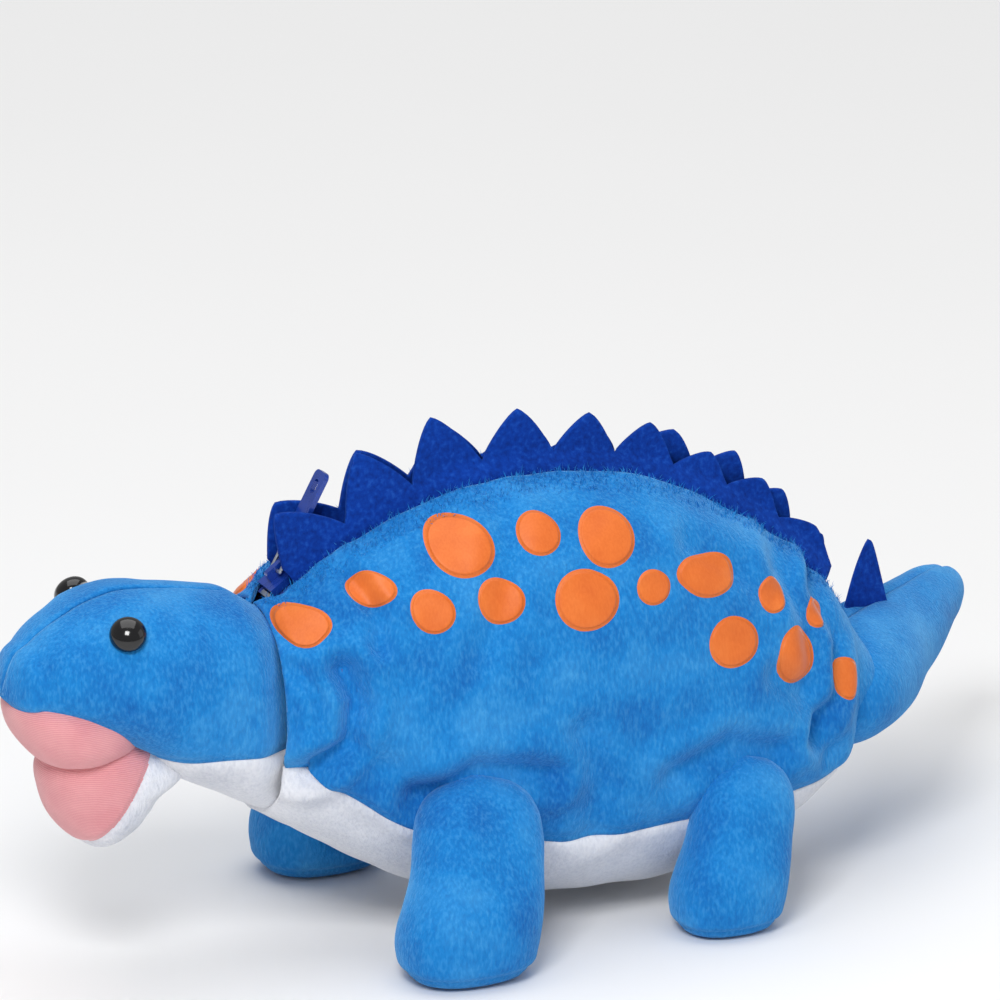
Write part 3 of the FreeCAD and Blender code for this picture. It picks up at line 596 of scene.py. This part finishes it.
def belly_skin():
    """White plush from one belly seam under the animal to the other."""
    columns = 90
    x = np.linspace(CREASE_X, SKIN_REAR, ROWS)[:, None] * np.ones((1, columns))
    share = np.linspace(-1, 1, columns)[None, :]
    seam, _ = side_turns(x)
    down = -math.pi / 2
    turn = down + (seam - down) * np.abs(share)
    right = torso_point(x, turn, 1)
    left = torso_point(x, turn, -1)
    points = np.where((share > 0)[..., None], right, left)
    piece = outward(grid_object("belly_skin", points), torso_middle)
    thicken(piece, PLUSH)
    paint(piece, WHITE_PLUSH)
    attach(piece, "torso")
    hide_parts("belly_panel")
    return piece


def lining_point(x, turn, side):
    point = torso_base(x, turn, inset=LINING_INSET)
    point[..., 2] += 0.5 * MM * lumps(x, side * 0.03, point[..., 2], 22 * MM, 9)
    point[..., 1] *= side
    return point


def linings():
    """Nylon bag inside: one sheet on each side up to the zip, and one along the bottom."""
    columns = 60
    x = np.linspace(CREASE_X + 10 * MM, RUMP_X - 2 * MM, ROWS // 2)[:, None] * np.ones((1, columns))
    share = np.linspace(0, 1, columns)[None, :]
    for side, name in SIDES:
        _, edge = side_turns(x)
        points = lining_point(x, 0.02 + (edge - 0.06) * share, side)
        piece = outward(grid_object(name + "_lining", points), torso_middle)
        thicken(piece, LINING)
        paint(piece, NYLON)
        bend_with_back(piece)
        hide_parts(name + "_back_lining")
    share = np.linspace(-1, 1, columns)[None, :]
    turn = np.where(share > 0, 1, -1) * (np.abs(share) * (math.pi / 2 + 0.02)) - math.pi / 2
    turn = np.where(share < 0, -math.pi - turn, turn)
    points = np.where((share > 0)[..., None], lining_point(x, turn, 1), lining_point(x, turn, -1))
    piece = outward(grid_object("bottom_lining", points), torso_middle)
    thicken(piece, LINING)
    paint(piece, NYLON)
    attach(piece, "torso")
    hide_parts("lining_lower")


def end_walls():
    """Nylon walls that close the bag towards the head and the tail."""
    inset, bulge_depth = 12 * MM, 6 * MM
    walls = (("neck_closing", CREASE_X + inset, bulge_depth), ("tail_closing", RUMP_X - inset, -bulge_depth))
    for name, x, bulge in walls:
        rings = 14
        turn = np.linspace(0, 2 * math.pi, 48, endpoint=False)[None, :] * np.ones((rings, 1))
        out = np.linspace(0.02, 1, rings)[:, None] * np.ones((1, 48))
        bottom, widest, top, half_width = (value[0] for value in torso_section(np.array([x])))
        reach = np.where(np.sin(turn) > 0, top - widest, widest - bottom) - 6.4 * MM
        points = np.stack([x + bulge * (1 - out ** 2), (half_width - 6.4 * MM) * out * np.cos(turn),
                           widest + reach * out * np.sin(turn)], -1)
        piece = grid_object(name + "_wall", points, wrap_across=True)
        thicken(piece, 0.8 * MM)
        paint(piece, NYLON)
        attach(piece, "torso")
        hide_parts(name + "_panel")


def spots(side, name):
    """Orange satin spots, each with a rim of pressed plush, laid on the displaced skin."""
    points, faces, shades = [], [], []
    rings = (0.0, 0.3, 0.55, 0.75, 0.88, 0.96, 1.0, 1.0, 1.12, 1.16)
    lifts = (0.5, 0.5, 0.5, 0.48, 0.45, 0.4, 0.3, 0.12, 0.1, -0.15)
    count = 56
    for spot in SPOTS:
        spot_x, spot_z, half_length, half_height, point_angle = spot
        turn = np.linspace(0, 2 * math.pi, count, endpoint=False)
        first = len(points)
        for ring, lift in zip(rings, lifts):
            radius = ring * spot_outline(turn, point_angle)
            x = spot_x * MM + half_length * MM * radius * np.cos(turn)
            z = spot_z * MM + half_height * MM * radius * np.sin(turn)
            points.extend(torso_point(x, turn_at_height(x, z), side, lift * MM).tolist())
        for ring in range(len(rings) - 1):
            for step in range(count):
                after = (step + 1) % count
                low = first + ring * count
                faces.append((low + step, low + after, low + count + after, low + count + step))
                shades.append(0 if ring < 6 else 1)
    mesh = bpy.data.meshes.new(name + "_spots")
    mesh.from_pydata(points, [], faces)
    mesh.polygons.foreach_set("material_index", shades)
    piece = finish_mesh(name + "_spots", mesh)
    outward(piece, torso_middle)
    paint(piece, ORANGE, HALO)
    bend_with_back(piece)
    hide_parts(name + "_side_spots", name + "_back_spots")


def ridge_fringe(side, name):
    """Short hairs of the plush edge that stand up along the foot of the felt spikes."""
    generator = np.random.default_rng(11 + side)
    count = 2600
    x = generator.uniform(CREASE_X + 1 * MM, RUMP_X + 4 * MM, count)
    _, edge = side_turns(x)
    turn = edge - generator.uniform(-0.02, 0.22, count)
    root = torso_point(x, turn, side, -0.3 * MM)
    length = generator.uniform(1.0, 2.6, count)[:, None] * MM
    lean = generator.normal(0, 0.35, (count, 3))
    direction = np.stack([np.zeros(count), -side * 0.35 * np.ones(count), np.ones(count)], -1) + lean
    direction /= np.linalg.norm(direction, axis=1, keepdims=True)
    across = np.cross(direction, generator.normal(size=(count, 3)))
    across /= np.linalg.norm(across, axis=1, keepdims=True)
    wide = 0.16 * MM
    points, faces = [], []
    for i in range(count):
        first = len(points)
        middle = root[i] + direction[i] * length[i] * 0.55
        tip = root[i] + (direction[i] + lean[i] * 0.5) * length[i]
        points += [root[i] - across[i] * wide, root[i] + across[i] * wide,
                   middle + across[i] * wide * 0.6, middle - across[i] * wide * 0.6, tip]
        faces += [(first, first + 1, first + 2, first + 3), (first + 3, first + 2, first + 4)]
    mesh = bpy.data.meshes.new(name + "_ridge_fringe")
    mesh.from_pydata([tuple(point) for point in points], [], faces)
    piece = bpy.data.objects.new(name + "_ridge_fringe", mesh)
    bpy.context.scene.collection.objects.link(piece)
    paint(piece, BLUE_PLUSH)
    bend_with_back(piece)


# ------------------------------------------------------------------ zip and felt spikes
def arc_point(angle, radius, y):
    """Places on the zip's arc: angle in radians from straight up, towards the tail."""
    return np.stack([ARC[0] + radius * np.sin(angle), y + 0 * angle, ARC[2] + radius * np.cos(angle)], -1)


# Felt spikes of each side, as degrees along the zip's arc: where one ends and the next begins, where their
# tips stand, and how high the tips are above the plush edge in mm.
SPIKE_VALLEYS = {
    "left": (-33.8, -23.9, -13.8, -3.6, 6.3, 15.0, 23.6, 32.0, 41.0, 51.7),
    "right": (-33.8, -22.4, -12.3, -2.1, 7.8, 17.0, 28.0, 36.6, 45.0, 51.7),
}
SPIKE_TIPS = {
    "left": (-31.0, -19.4, -9.3, 1.3, 10.8, 19.0, 28.2, 36.4, 46.2),
    "right": (-29.2, -17.8, -7.7, 2.9, 12.4, 23.4, 32.2, 40.6, 49.0),
}
SPIKE_HEIGHTS = {
    "left": (18.3, 19.5, 19.1, 16.2, 13.9, 13.2, 10.0, 10.0, 8.4),
    "right": (13.4, 14.6, 14.6, 12.0, 10.2, 12.0, 12.6, 10.4, 8.4),
}
FOLDED_SPIKE = 6              # the spike on the left whose tip has folded over
SPIKE_VALLEY = 3.5 * MM


def felt_strip(side, name):
    """Strip of nine felt spikes with bowed sides and soft tips."""
    valleys, tips, heights = (table[name] for table in (SPIKE_VALLEYS, SPIKE_TIPS, SPIKE_HEIGHTS))
    levels, across, below = 18, 18, 6.0 * MM
    columns = []
    for number, (tip, tall) in enumerate(zip(tips, heights)):
        start, finish = valleys[number], valleys[number + 1]
        lean = tip - (start + finish) / 2
        folded = 1.0 if (number == FOLDED_SPIKE and side < 0) else 0.0
        for step in range(1 if number else 0, across + 1):
            share = step / across
            profile = 1 - abs(2 * share - 1) ** 1.3
            valley = SPIKE_VALLEY - (1.8 * MM if side > 0 and number < 5 else 0.0)
            height = valley + (tall * MM - valley) * profile
            out = -below + (height + below) * np.linspace(0, 1, levels + 1)
            above = np.maximum(out, 0) / (20 * MM)
            leaning = lean * (np.maximum(out, 0) / (tall * MM)) ** 1.4
            angle = np.radians(start + (finish - start) * share + leaning)
            wave = 0.7 * MM * np.sin(2.1 * number + 1.3 * side + 2.0 * share) * above
            wave = wave + 1.0 * MM * np.sin(1.7 * number + side) * above ** 2
            inward = 3.6 * MM * ease(-1 * MM, 5 * MM, out) + 0.6 * MM * above
            inward = inward * ease(1.6, 2.6, np.array(number + share))
            y = side * (6.0 * MM - inward) + wave - folded * side * 5.0 * MM * above ** 2
            columns.append(arc_point(angle, RIDGE_RADIUS + out, y))
    piece = grid_object(name + "_felt_spikes", np.array(columns))
    thicken_felt(piece)
    paint(piece, FELT)
    bend_with_back(piece)
    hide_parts(name + "_spikes")


def zip_tapes(side, name):
    """Woven tape along one edge of the mouth, with a turned-down hem."""
    steps = 160
    angle = np.linspace(FRONT_ANGLE + 0.002, REAR_ANGLE - 0.002, steps)
    profile = [(2.75, 0.0), (3.4, 0.05), (4.4, 0.0), (4.95, -0.3), (5.0, -1.5), (5.0, -3.2)]
    points = np.stack([arc_point(angle, ZIP_RADIUS + out * MM, side * y * MM) for y, out in profile], 1)
    piece = grid_object(name + "_tape", points)
    thicken(piece, 0.5 * MM)
    paint(piece, TAPE)
    bend_with_back(piece)
    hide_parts(name + "_zip_tape")


def zip_coil(side, name):
    """Nylon coil: one loop after another along the tape's edge, set between those of the other side."""
    pitch = 1.7 * MM / ZIP_RADIUS
    slider_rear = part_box("slider_body")[1][0]
    start = math.asin((slider_rear + 0.6 * MM - ARC[0]) / ZIP_RADIUS)
    count = int((REAR_ANGLE - 0.004 - start) / pitch)
    ring = 6
    per_turn = 12
    wire = 0.34 * MM
    turns = np.arange(count * per_turn + 1) / per_turn
    phase = 0.5 if side > 0 else 0.0
    angle = start + (turns + phase) * pitch
    swing = 2 * math.pi * turns
    y = 1.35 * MM + 1.0 * MM * np.cos(swing) - 0.35 * MM
    out = 0.62 * MM * np.sin(swing)
    spine = arc_point(angle, ZIP_RADIUS + out, side * y)
    ahead = np.gradient(spine, axis=0)
    ahead /= np.linalg.norm(ahead, axis=1, keepdims=True)
    aside = np.cross(ahead, np.array([0, 1.0, 0]))
    aside /= np.linalg.norm(aside, axis=1, keepdims=True)
    upwards = np.cross(ahead, aside)
    around = np.linspace(0, 2 * math.pi, ring, endpoint=False)
    points = spine[:, None] + wire * (aside[:, None] * np.cos(around)[None, :, None]
                                      + upwards[:, None] * np.sin(around)[None, :, None])
    piece = closed_ends(grid_object(name + "_coil", points, wrap_across=True))
    paint(piece, COIL)
    bend_with_back(piece)
    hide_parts(name + "_zip_coil")


# ------------------------------------------------------------------ head
# Sections of the head: distance in mm along X from the neck axis, and a height or half width in mm.
HEAD_BOTTOM = [(-60.6, 81.6), (-58.5, 77.6), (-52, 76), (-41, 72), (-27, 64), (-12, 53), (0, 46.5),
               (12, 39.8), (20, 35.5)]
HEAD_TOP = [(-60.6, 82.2), (-58.5, 89), (-52, 96), (-41, 102.5), (-27, 106), (-12, 105), (4, 101.8),
            (20, 99)]
HEAD_HALF_WIDTH = [(-60.6, 0.4), (-58.5, 7.5), (-52, 14), (-41, 20), (-27, 24), (-12, 25.6), (4, 25),
                   (20, 23)]

# Lower edge of the blue plush: the lip, the corner of the mouth, and the seam with the white throat.
HEAD_SEAM = [(-60.6, 79.5), (-53, 77.4), (-42, 74), (-32, 69), (-26, 64.5), (-18, 62.5), (-6, 62.3),
             (14, 60.5)]


def head_base(x, turn):
    ahead = x - NECK[0]
    bottom = smooth_curve(HEAD_BOTTOM, ahead)
    top = smooth_curve(HEAD_TOP, ahead)
    half_width = smooth_curve(HEAD_HALF_WIDTH, ahead)
    tuck = 5.8 * MM * ease(3.5 * MM, 17.5 * MM, ahead)
    middle = bottom + 0.46 * (top - bottom)
    rise = np.sin(turn)
    reach = np.where(rise > 0, top - middle - tuck, middle - bottom - 0.12 * tuck)
    fullness = 1 + 0.05 * np.sin(2 * turn) ** 2
    return np.stack([x, (half_width - tuck) * np.cos(turn) * fullness, middle + reach * rise * fullness], -1)


def head_turn(x, z):
    ahead = x - NECK[0]
    bottom = smooth_curve(HEAD_BOTTOM, ahead)
    top = smooth_curve(HEAD_TOP, ahead)
    middle = bottom + 0.46 * (top - bottom)
    reach = np.where(z > middle, top - middle, middle - bottom)
    return np.arcsin(np.clip((z - middle) / reach, -1, 1))


def head_point(x, turn, side):
    base = head_base(x, turn)
    normal = surface_normal(head_base, x, turn)
    z = base[..., 2]
    relief = 0.5 * MM * lumps(x, side * 0.03, z, 30 * MM, 21)
    seam = np.abs(z - smooth_curve(HEAD_SEAM, x - NECK[0])) / (1.5 * MM)
    relief = relief - 0.8 * MM * np.exp(-seam ** 2)
    brow = distance_to_line(x, z, [(-128, 101), (-120, 104.5), (-112, 102)]) / (3.5 * MM)
    relief = relief + 0.7 * MM * np.exp(-brow ** 2)
    cheek = np.hypot((x + 118 * MM) / (12 * MM), (z - 77 * MM) / (9 * MM))
    relief = relief + 1.2 * MM * np.exp(-cheek ** 2)
    middle_seam = np.exp(-(base[..., 1] / (0.9 * MM)) ** 2) * (turn > 0)
    relief = relief - 0.5 * MM * middle_seam
    point = base + normal * relief[..., None]
    point[..., 1] *= side
    return point


def head_blend(piece):
    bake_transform(piece)


def head_skins():
    rows, columns = 120, 60
    front = NECK[0] - 60.55 * MM
    along = np.linspace(0, 1, rows)
    stretch = 1 - np.cos(along * math.pi / 2)
    x_line = front + (NECK[0] + 17 * MM - front) * (0.25 * stretch + 0.75 * along)
    x = x_line[:, None] * np.ones((1, columns))
    share = np.linspace(0, 1, columns)[None, :]
    seam = head_turn(x, smooth_curve(HEAD_SEAM, x - NECK[0]))
    for side, name in SIDES:
        turn = seam + (math.pi / 2 - seam) * share
        piece = outward(grid_object(name + "_head_skin", head_point(x, turn, side)), head_middle)
        thicken(piece, PLUSH)
        paint(piece, BLUE_PLUSH)
        head_blend(piece)
        nodes = [name + "_head_panel"] + (["head_stuffing"] if side < 0 else [])
        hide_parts(*nodes)
    columns = 70
    share = np.linspace(-1, 1, columns)[None, :]
    x = x_line[:, None] * np.ones((1, columns))
    seam = head_turn(x, smooth_curve(HEAD_SEAM, x - NECK[0]))
    turn = -math.pi / 2 + (seam + math.pi / 2) * np.abs(share)
    points = np.where((share > 0)[..., None], head_point(x, turn, 1), head_point(x, turn, -1))
    rear = x_line > NECK[0] - 30 * MM
    throat = outward(grid_object("throat_skin", points[rear]), head_middle)
    thicken(throat, PLUSH)
    paint(throat, WHITE_PLUSH)
    head_blend(throat)
    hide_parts("throat_panel")


def head_middle(x):
    """Height halfway between the throat and the top of the head."""
    ahead = np.asarray(x) - NECK[0]
    return 0.5 * (smooth_curve(HEAD_BOTTOM, ahead) + smooth_curve(HEAD_TOP, ahead))


# Side views of the puffed mouth forms: places (X, Z) in mm along the outline.
ROOF_OUTLINE = [(-150.3, 78.5), (-149.6, 73.5), (-146.2, 67.0), (-140, 61.6), (-131, 59.6), (-122, 60.6), (-114, 66),
                (-112, 74), (-124, 82), (-140, 84)]
JAW_OUTLINE = [(-140.6, 60.5), (-140.2, 52), (-137.2, 44.5), (-132, 38.6), (-125.5, 36), (-118.5, 38.8), (-112, 45),
               (-106, 51), (-99, 57), (-104, 66), (-118, 71), (-133, 68)]


def puffed_outline(name, outline, half_width, relief, rows=120, columns=80):
    """Stuffed form that fills an outline in the side view and rounds off towards both sides."""
    points = np.array(outline) * MM
    centre = points.mean(axis=0)
    arms = points - centre
    angles = np.arctan2(arms[:, 1], arms[:, 0]) % (2 * math.pi)
    order = np.argsort(angles)
    known = angles[order]
    sizes = np.hypot(arms[:, 0], arms[:, 1])[order]
    known = np.concatenate([known[-2:] - 2 * math.pi, known, known[:2] + 2 * math.pi])
    sizes = np.concatenate([sizes[-2:], sizes, sizes[:2]])
    turn = np.linspace(0, 2 * math.pi, rows, endpoint=False)
    radius = smooth_curve(list(zip(known / MM, sizes / MM)), turn)
    lift = np.linspace(0.002, math.pi - 0.002, columns)[:, None] * np.ones((1, rows))
    out = np.sin(lift) ** 0.85
    x = centre[0] + out * radius * np.cos(turn)
    z = centre[1] + out * radius * np.sin(turn)
    y = half_width * MM * np.cos(lift)
    place = np.stack([x, y, z], -1)
    normal = np.stack([np.sin(lift) * np.cos(turn), 0.8 * np.cos(lift), np.sin(lift) * np.sin(turn)], -1)
    normal /= np.linalg.norm(normal, axis=-1, keepdims=True)
    place = place + normal * relief(place)[..., None]
    return closed_ends(grid_object(name, place, wrap_across=True))


def mouth():
    """Pink roof of the mouth that bulges under the lip, and the jaw: pink in front, white behind."""
    def roof_relief(p):
        return 0.5 * MM * lumps(p[..., 0], p[..., 1], p[..., 2], 16 * MM, 31)

    roof = puffed_outline("mouth_roof", ROOF_OUTLINE, 18.5, roof_relief)
    paint(roof, PINK)
    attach(roof, "head")
    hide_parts("mouth_roof_lining")

    edge_x, edge_z, slope = -124.5, 47.5, math.tan(math.radians(32))

    def ahead_of_edge(p):
        return (edge_x * MM + (p[..., 2] - edge_z * MM) * slope) - p[..., 0]

    def jaw_relief(p):
        seam = np.exp(-(ahead_of_edge(p) / (1.3 * MM)) ** 2)
        return 0.6 * MM * lumps(p[..., 0], p[..., 1], p[..., 2], 18 * MM, 32) - 0.7 * MM * seam

    jaw = puffed_outline("jaw", JAW_OUTLINE, 17.0, jaw_relief, rows=200, columns=130)
    shades = [0 if ahead_of_edge(np.array(polygon.center)) > 0 else 1 for polygon in jaw.data.polygons]
    paint(jaw, PINK, WHITE_PLUSH)
    jaw.data.polygons.foreach_set("material_index", shades)
    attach(jaw, "head")
    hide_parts("jaw_lining", "jaw_panel", "jaw_stuffing")


# ------------------------------------------------------------------ tail
# Tail sections along its own line from the swinging axis, in mm.
TAIL_HALF_WIDTH = [(-22, 3), (-20, 9.5), (-14, 17), (-6, 21.3), (0, 22), (12, 20.6), (24, 18.0),
                   (38, 14.8), (50, 12.4), (62, 10.2), (72, 8.2), (78, 5.4), (81.5, 1.2)]
TAIL_HALF_HEIGHT = [(-22, 2), (-20, 7), (-14, 12), (-6, 15), (0, 15.5), (12, 15.6), (24, 15),
                    (38, 13.4), (50, 11.6), (62, 9.8), (72, 7.8), (78, 5.2), (81.5, 1.2)]


def tail_skins():
    rows, columns = 100, 72
    cos, sin = math.cos(TAIL_REST), math.sin(TAIL_REST)
    for side, name in SIDES:
        along = (np.linspace(0, 1, rows) * 103.5 - 22)[:, None] * np.ones((1, columns)) * MM
        turn = np.linspace(-math.pi / 2, math.pi / 2, columns)[None, :] * np.ones((rows, 1))
        wide = smooth_curve(TAIL_HALF_WIDTH, along)
        tall = smooth_curve(TAIL_HALF_HEIGHT, along)
        seam = np.exp(-((np.abs(turn) - math.pi / 2) * wide / (1.2 * MM)) ** 2)
        soft = 0.7 * MM * lumps(along, side * np.cos(turn) * 0.02, np.sin(turn) * 0.015, 24 * MM, 41)
        swell = (soft * ease(0, 8 * MM, wide) - 0.8 * MM * seam * ease(2 * MM, 8 * MM, wide))
        y = side * (wide + swell) * np.cos(turn)
        z = (tall + swell) * np.sin(turn) + 2.5 * MM * ease(30 * MM, 82 * MM, along)
        points = np.stack([TAIL[0] + along * cos - y * sin, TAIL[1] + along * sin + y * cos, TAIL[2] + z], -1)
        piece = grid_object(name + "_tail_skin", points)
        centre = piece.data
        normals = np.array([polygon.normal for polygon in centre.polygons])
        places = np.array([polygon.center for polygon in centre.polygons])
        out = side * ((places[:, 0] - TAIL[0]) * -sin + (places[:, 1] - TAIL[1]) * cos)
        across = side * (normals[:, 0] * -sin + normals[:, 1] * cos)
        if float((across * out).sum()) < 0:
            centre.flip_normals()
        thicken(piece, PLUSH)
        paint(piece, BLUE_PLUSH)
        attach(piece, "tail")
        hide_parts(name + "_tail_panel", *(["tail_stuffing"] if side < 0 else []))


def tail_spike():
    """Single felt spike on the tail."""
    cos, sin = math.cos(TAIL_REST), math.sin(TAIL_REST)
    half, low, high = 7.5 * MM, 12.5 * MM, 32.0 * MM
    across, levels = 20, 14
    share = np.linspace(-1, 1, across + 1)[:, None] * np.ones((1, levels + 1))
    rise = np.linspace(0, 1, levels + 1)[None, :]
    height = low + (high - low) * (1 - np.abs(share) ** 1.3) * rise
    above = np.clip((height - 15 * MM) / (high - 15 * MM), 0, 1)
    along = 25.0 * MM + share * half + 2.0 * MM * above
    y = 0.7 * MM * np.sin(above * 2.2)
    twist = math.radians(-26)
    from_middle = along - 26.0 * MM
    along = 26.0 * MM + from_middle * math.cos(twist) - y * math.sin(twist)
    y = from_middle * math.sin(twist) + y
    points = np.stack([TAIL[0] + along * cos - y * sin, TAIL[1] + along * sin + y * cos, TAIL[2] + height], -1)
    piece = grid_object("tail_felt_spike", points)
    thicken_felt(piece)
    paint(piece, FELT)
    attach(piece, "tail")
    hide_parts("tail_spike")


# ------------------------------------------------------------------ legs
# Shares of the foot's half sizes at heights in mm up a leg LEG_TABLE_HEIGHT mm tall.
LEG_LENGTH_SHARES = [(0, 0.25), (0.5, 0.62), (1.8, 0.8), (4.2, 0.94), (8, 1.0), (13, 1.02), (20, 0.99), (28, 0.94),
                     (36, 0.92), (43, 0.84), (47, 0.7), (50, 0.45), (52, 0.1)]
LEG_WIDTH_SHARES = [(0, 0.25), (0.5, 0.6), (1.8, 0.78), (4.2, 0.93), (8, 1.0), (13, 1.03), (20, 0.99), (28, 0.9),
                    (36, 0.88), (43, 0.78), (47, 0.6), (50, 0.36), (52, 0.1)]
LEG_TABLE_HEIGHT = 52 * MM
LEG_HINGE_HEIGHT = 47 * MM    # the hinge's height in the tables


def leg(row, side, name):
    """Stuffed leg: a rounded foot with a groove where the sole is sewn on, narrowing towards its hinge."""
    node = "_".join((row, name, "leg"))
    joint = joint_place(node + "_swing")
    height = joint[2]
    low, high = (np.array(corner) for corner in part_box(node + "_plush"))
    centre_x = (low[0] + high[0]) / 2
    front = row == "front"
    foot_y = (46.5 if front else 42.0) * MM
    half_foot_x = (19.0 if front else 15.2) * MM
    half_foot_y = (14.5 if front else 12.5) * MM
    rows, columns = 80, 96
    scale = height / LEG_HINGE_HEIGHT
    share = np.linspace(0, 1, rows)[:, None] * np.ones((1, columns))
    z = share * LEG_TABLE_HEIGHT
    turn = np.linspace(0, 2 * math.pi, columns, endpoint=False)[None, :] * np.ones((rows, 1))
    long_share = smooth_shares(LEG_LENGTH_SHARES, z)
    wide_share = smooth_shares(LEG_WIDTH_SHARES, z)
    half_long = half_foot_x * long_share
    half_wide = half_foot_y * wide_share
    middle_y = foot_y - (foot_y - 36 * MM) * ease(16 * MM, 50 * MM, z)
    shift = (1.0 + 7.5 * ease(6 * MM, 46 * MM, z)) * MM
    square = 1 + 0.06 * np.sin(2 * turn) ** 2
    soft = 0.8 * MM * lumps(np.cos(turn) * 0.02 + centre_x, np.sin(turn) * 0.016 * side, z, 22 * MM, 50 + side)
    soft = soft * ease(2 * MM, 9 * MM, z)
    sole = np.exp(-((z - 3.4 * MM) / (0.8 * MM)) ** 2) * 0.7 * MM
    reach_x = (half_long + soft - sole) * square
    reach_y = (half_wide + soft - sole) * square
    x = centre_x + shift + reach_x * np.cos(turn)
    y = side * (middle_y + reach_y * np.sin(turn))
    points = np.stack([x, y, z * scale], -1)
    piece = closed_ends(grid_object(node + "_skin", points, wrap_across=True))
    paint(piece, BLUE_PLUSH)
    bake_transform(piece)
    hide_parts(node + "_plush", node + "_sole", node + "_stuffing")


# ------------------------------------------------------------------ CAD nodes that stay
def finish_cad_nodes():
    finishes = {
        "slider_body": ENAMEL, "pull_tab": ENAMEL, "pull_link": METAL, "zip_front_stop": METAL,
        "zip_rear_stop": METAL, "left_eye": EYE, "right_eye": EYE, "left_eye_washer": WASHER,
        "right_eye_washer": WASHER, "zip_front_tape_ends": TAPE, "zip_rear_tape_ends": TAPE,
    }
    for node, material in finishes.items():
        piece = bpy.data.objects[node]
        for slot in piece.material_slots:
            slot.link = "OBJECT"
            slot.material = material


# ------------------------------------------------------------------ stage
def area_light(name, place, aim, size, power, colour=(1, 1, 1)):
    light = bpy.data.lights.new(name, "AREA")
    light.size = size
    light.energy = power
    light.color = colour
    lamp = bpy.data.objects.new(name, light)
    lamp.location = place
    lamp.rotation_euler = (Vector(aim) - Vector(place)).to_track_quat("-Z", "Y").to_euler()
    bpy.context.scene.collection.objects.link(lamp)


def stage():
    floor = bpy.data.meshes.new("floor")
    floor.from_pydata([(-3, -3, 0), (3, -3, 0), (3, 3, 0), (-3, 3, 0)], [], [(0, 1, 2, 3)])
    ground = bpy.data.objects.new("floor", floor)
    bpy.context.scene.collection.objects.link(ground)
    material, nodes, links, shader = new_material("pale_floor")
    tone = colour_steps(nodes, links, noise(nodes, links, 3.0), [(0.3, (0.86,) * 3), (0.7, (0.88,) * 3)])
    links.new(tone, shader.inputs["Base Color"])
    shader.inputs["Roughness"].default_value = 0.9
    ground.data.materials.append(material)
    world = bpy.data.worlds.new("studio")
    world.use_nodes = True
    world.node_tree.nodes["Background"].inputs["Color"].default_value = (1, 1, 1, 1)
    world.node_tree.nodes["Background"].inputs["Strength"].default_value = 0.38
    bpy.context.scene.world = world
    area_light("key", (-0.55, -0.75, 0.95), (0, 0, 0.06), 0.4, 9.0)
    area_light("top", (0.1, 0.5, 2.2), (0, 0.3, 0), 2.4, 30)
    area_light("fill", (0.9, -0.6, 0.5), (0.05, 0, 0.06), 0.7, 0.9)


def camera():
    """Long lens on the animal's left, turned towards the head and raised above the floor."""
    azimuth, elevation = math.radians(-25), math.radians(20)
    distance, width_seen, sensor = 12.0, 0.26596, 36.0
    back = Vector((math.sin(azimuth) * math.cos(elevation), -math.cos(azimuth) * math.cos(elevation),
                   math.sin(elevation)))
    right = Vector((math.cos(azimuth), math.sin(azimuth), 0))
    up = back.cross(right)
    aim = right * -6.06 * MM + up * 106.3 * MM
    data = bpy.data.cameras.new("camera")
    data.sensor_width = sensor
    data.lens = sensor * distance / width_seen
    eye = bpy.data.objects.new("camera", data)
    facing = Matrix((right, up, back)).transposed().to_4x4()
    eye.matrix_world = Matrix.Translation(aim + back * distance) @ facing
    bpy.context.scene.collection.objects.link(eye)
    bpy.context.scene.camera = eye
    bpy.context.scene.view_settings.view_transform = "Standard"


for side, name in SIDES:
    side_skin(side, name)
    spots(side, name)
    ridge_fringe(side, name)
    felt_strip(side, name)
    zip_tapes(side, name)
    zip_coil(side, name)
    for row in ("front", "rear"):
        leg(row, side, name)
belly_skin()
linings()
end_walls()
head_skins()
mouth()
tail_skins()
tail_spike()
finish_cad_nodes()
stage()
camera()
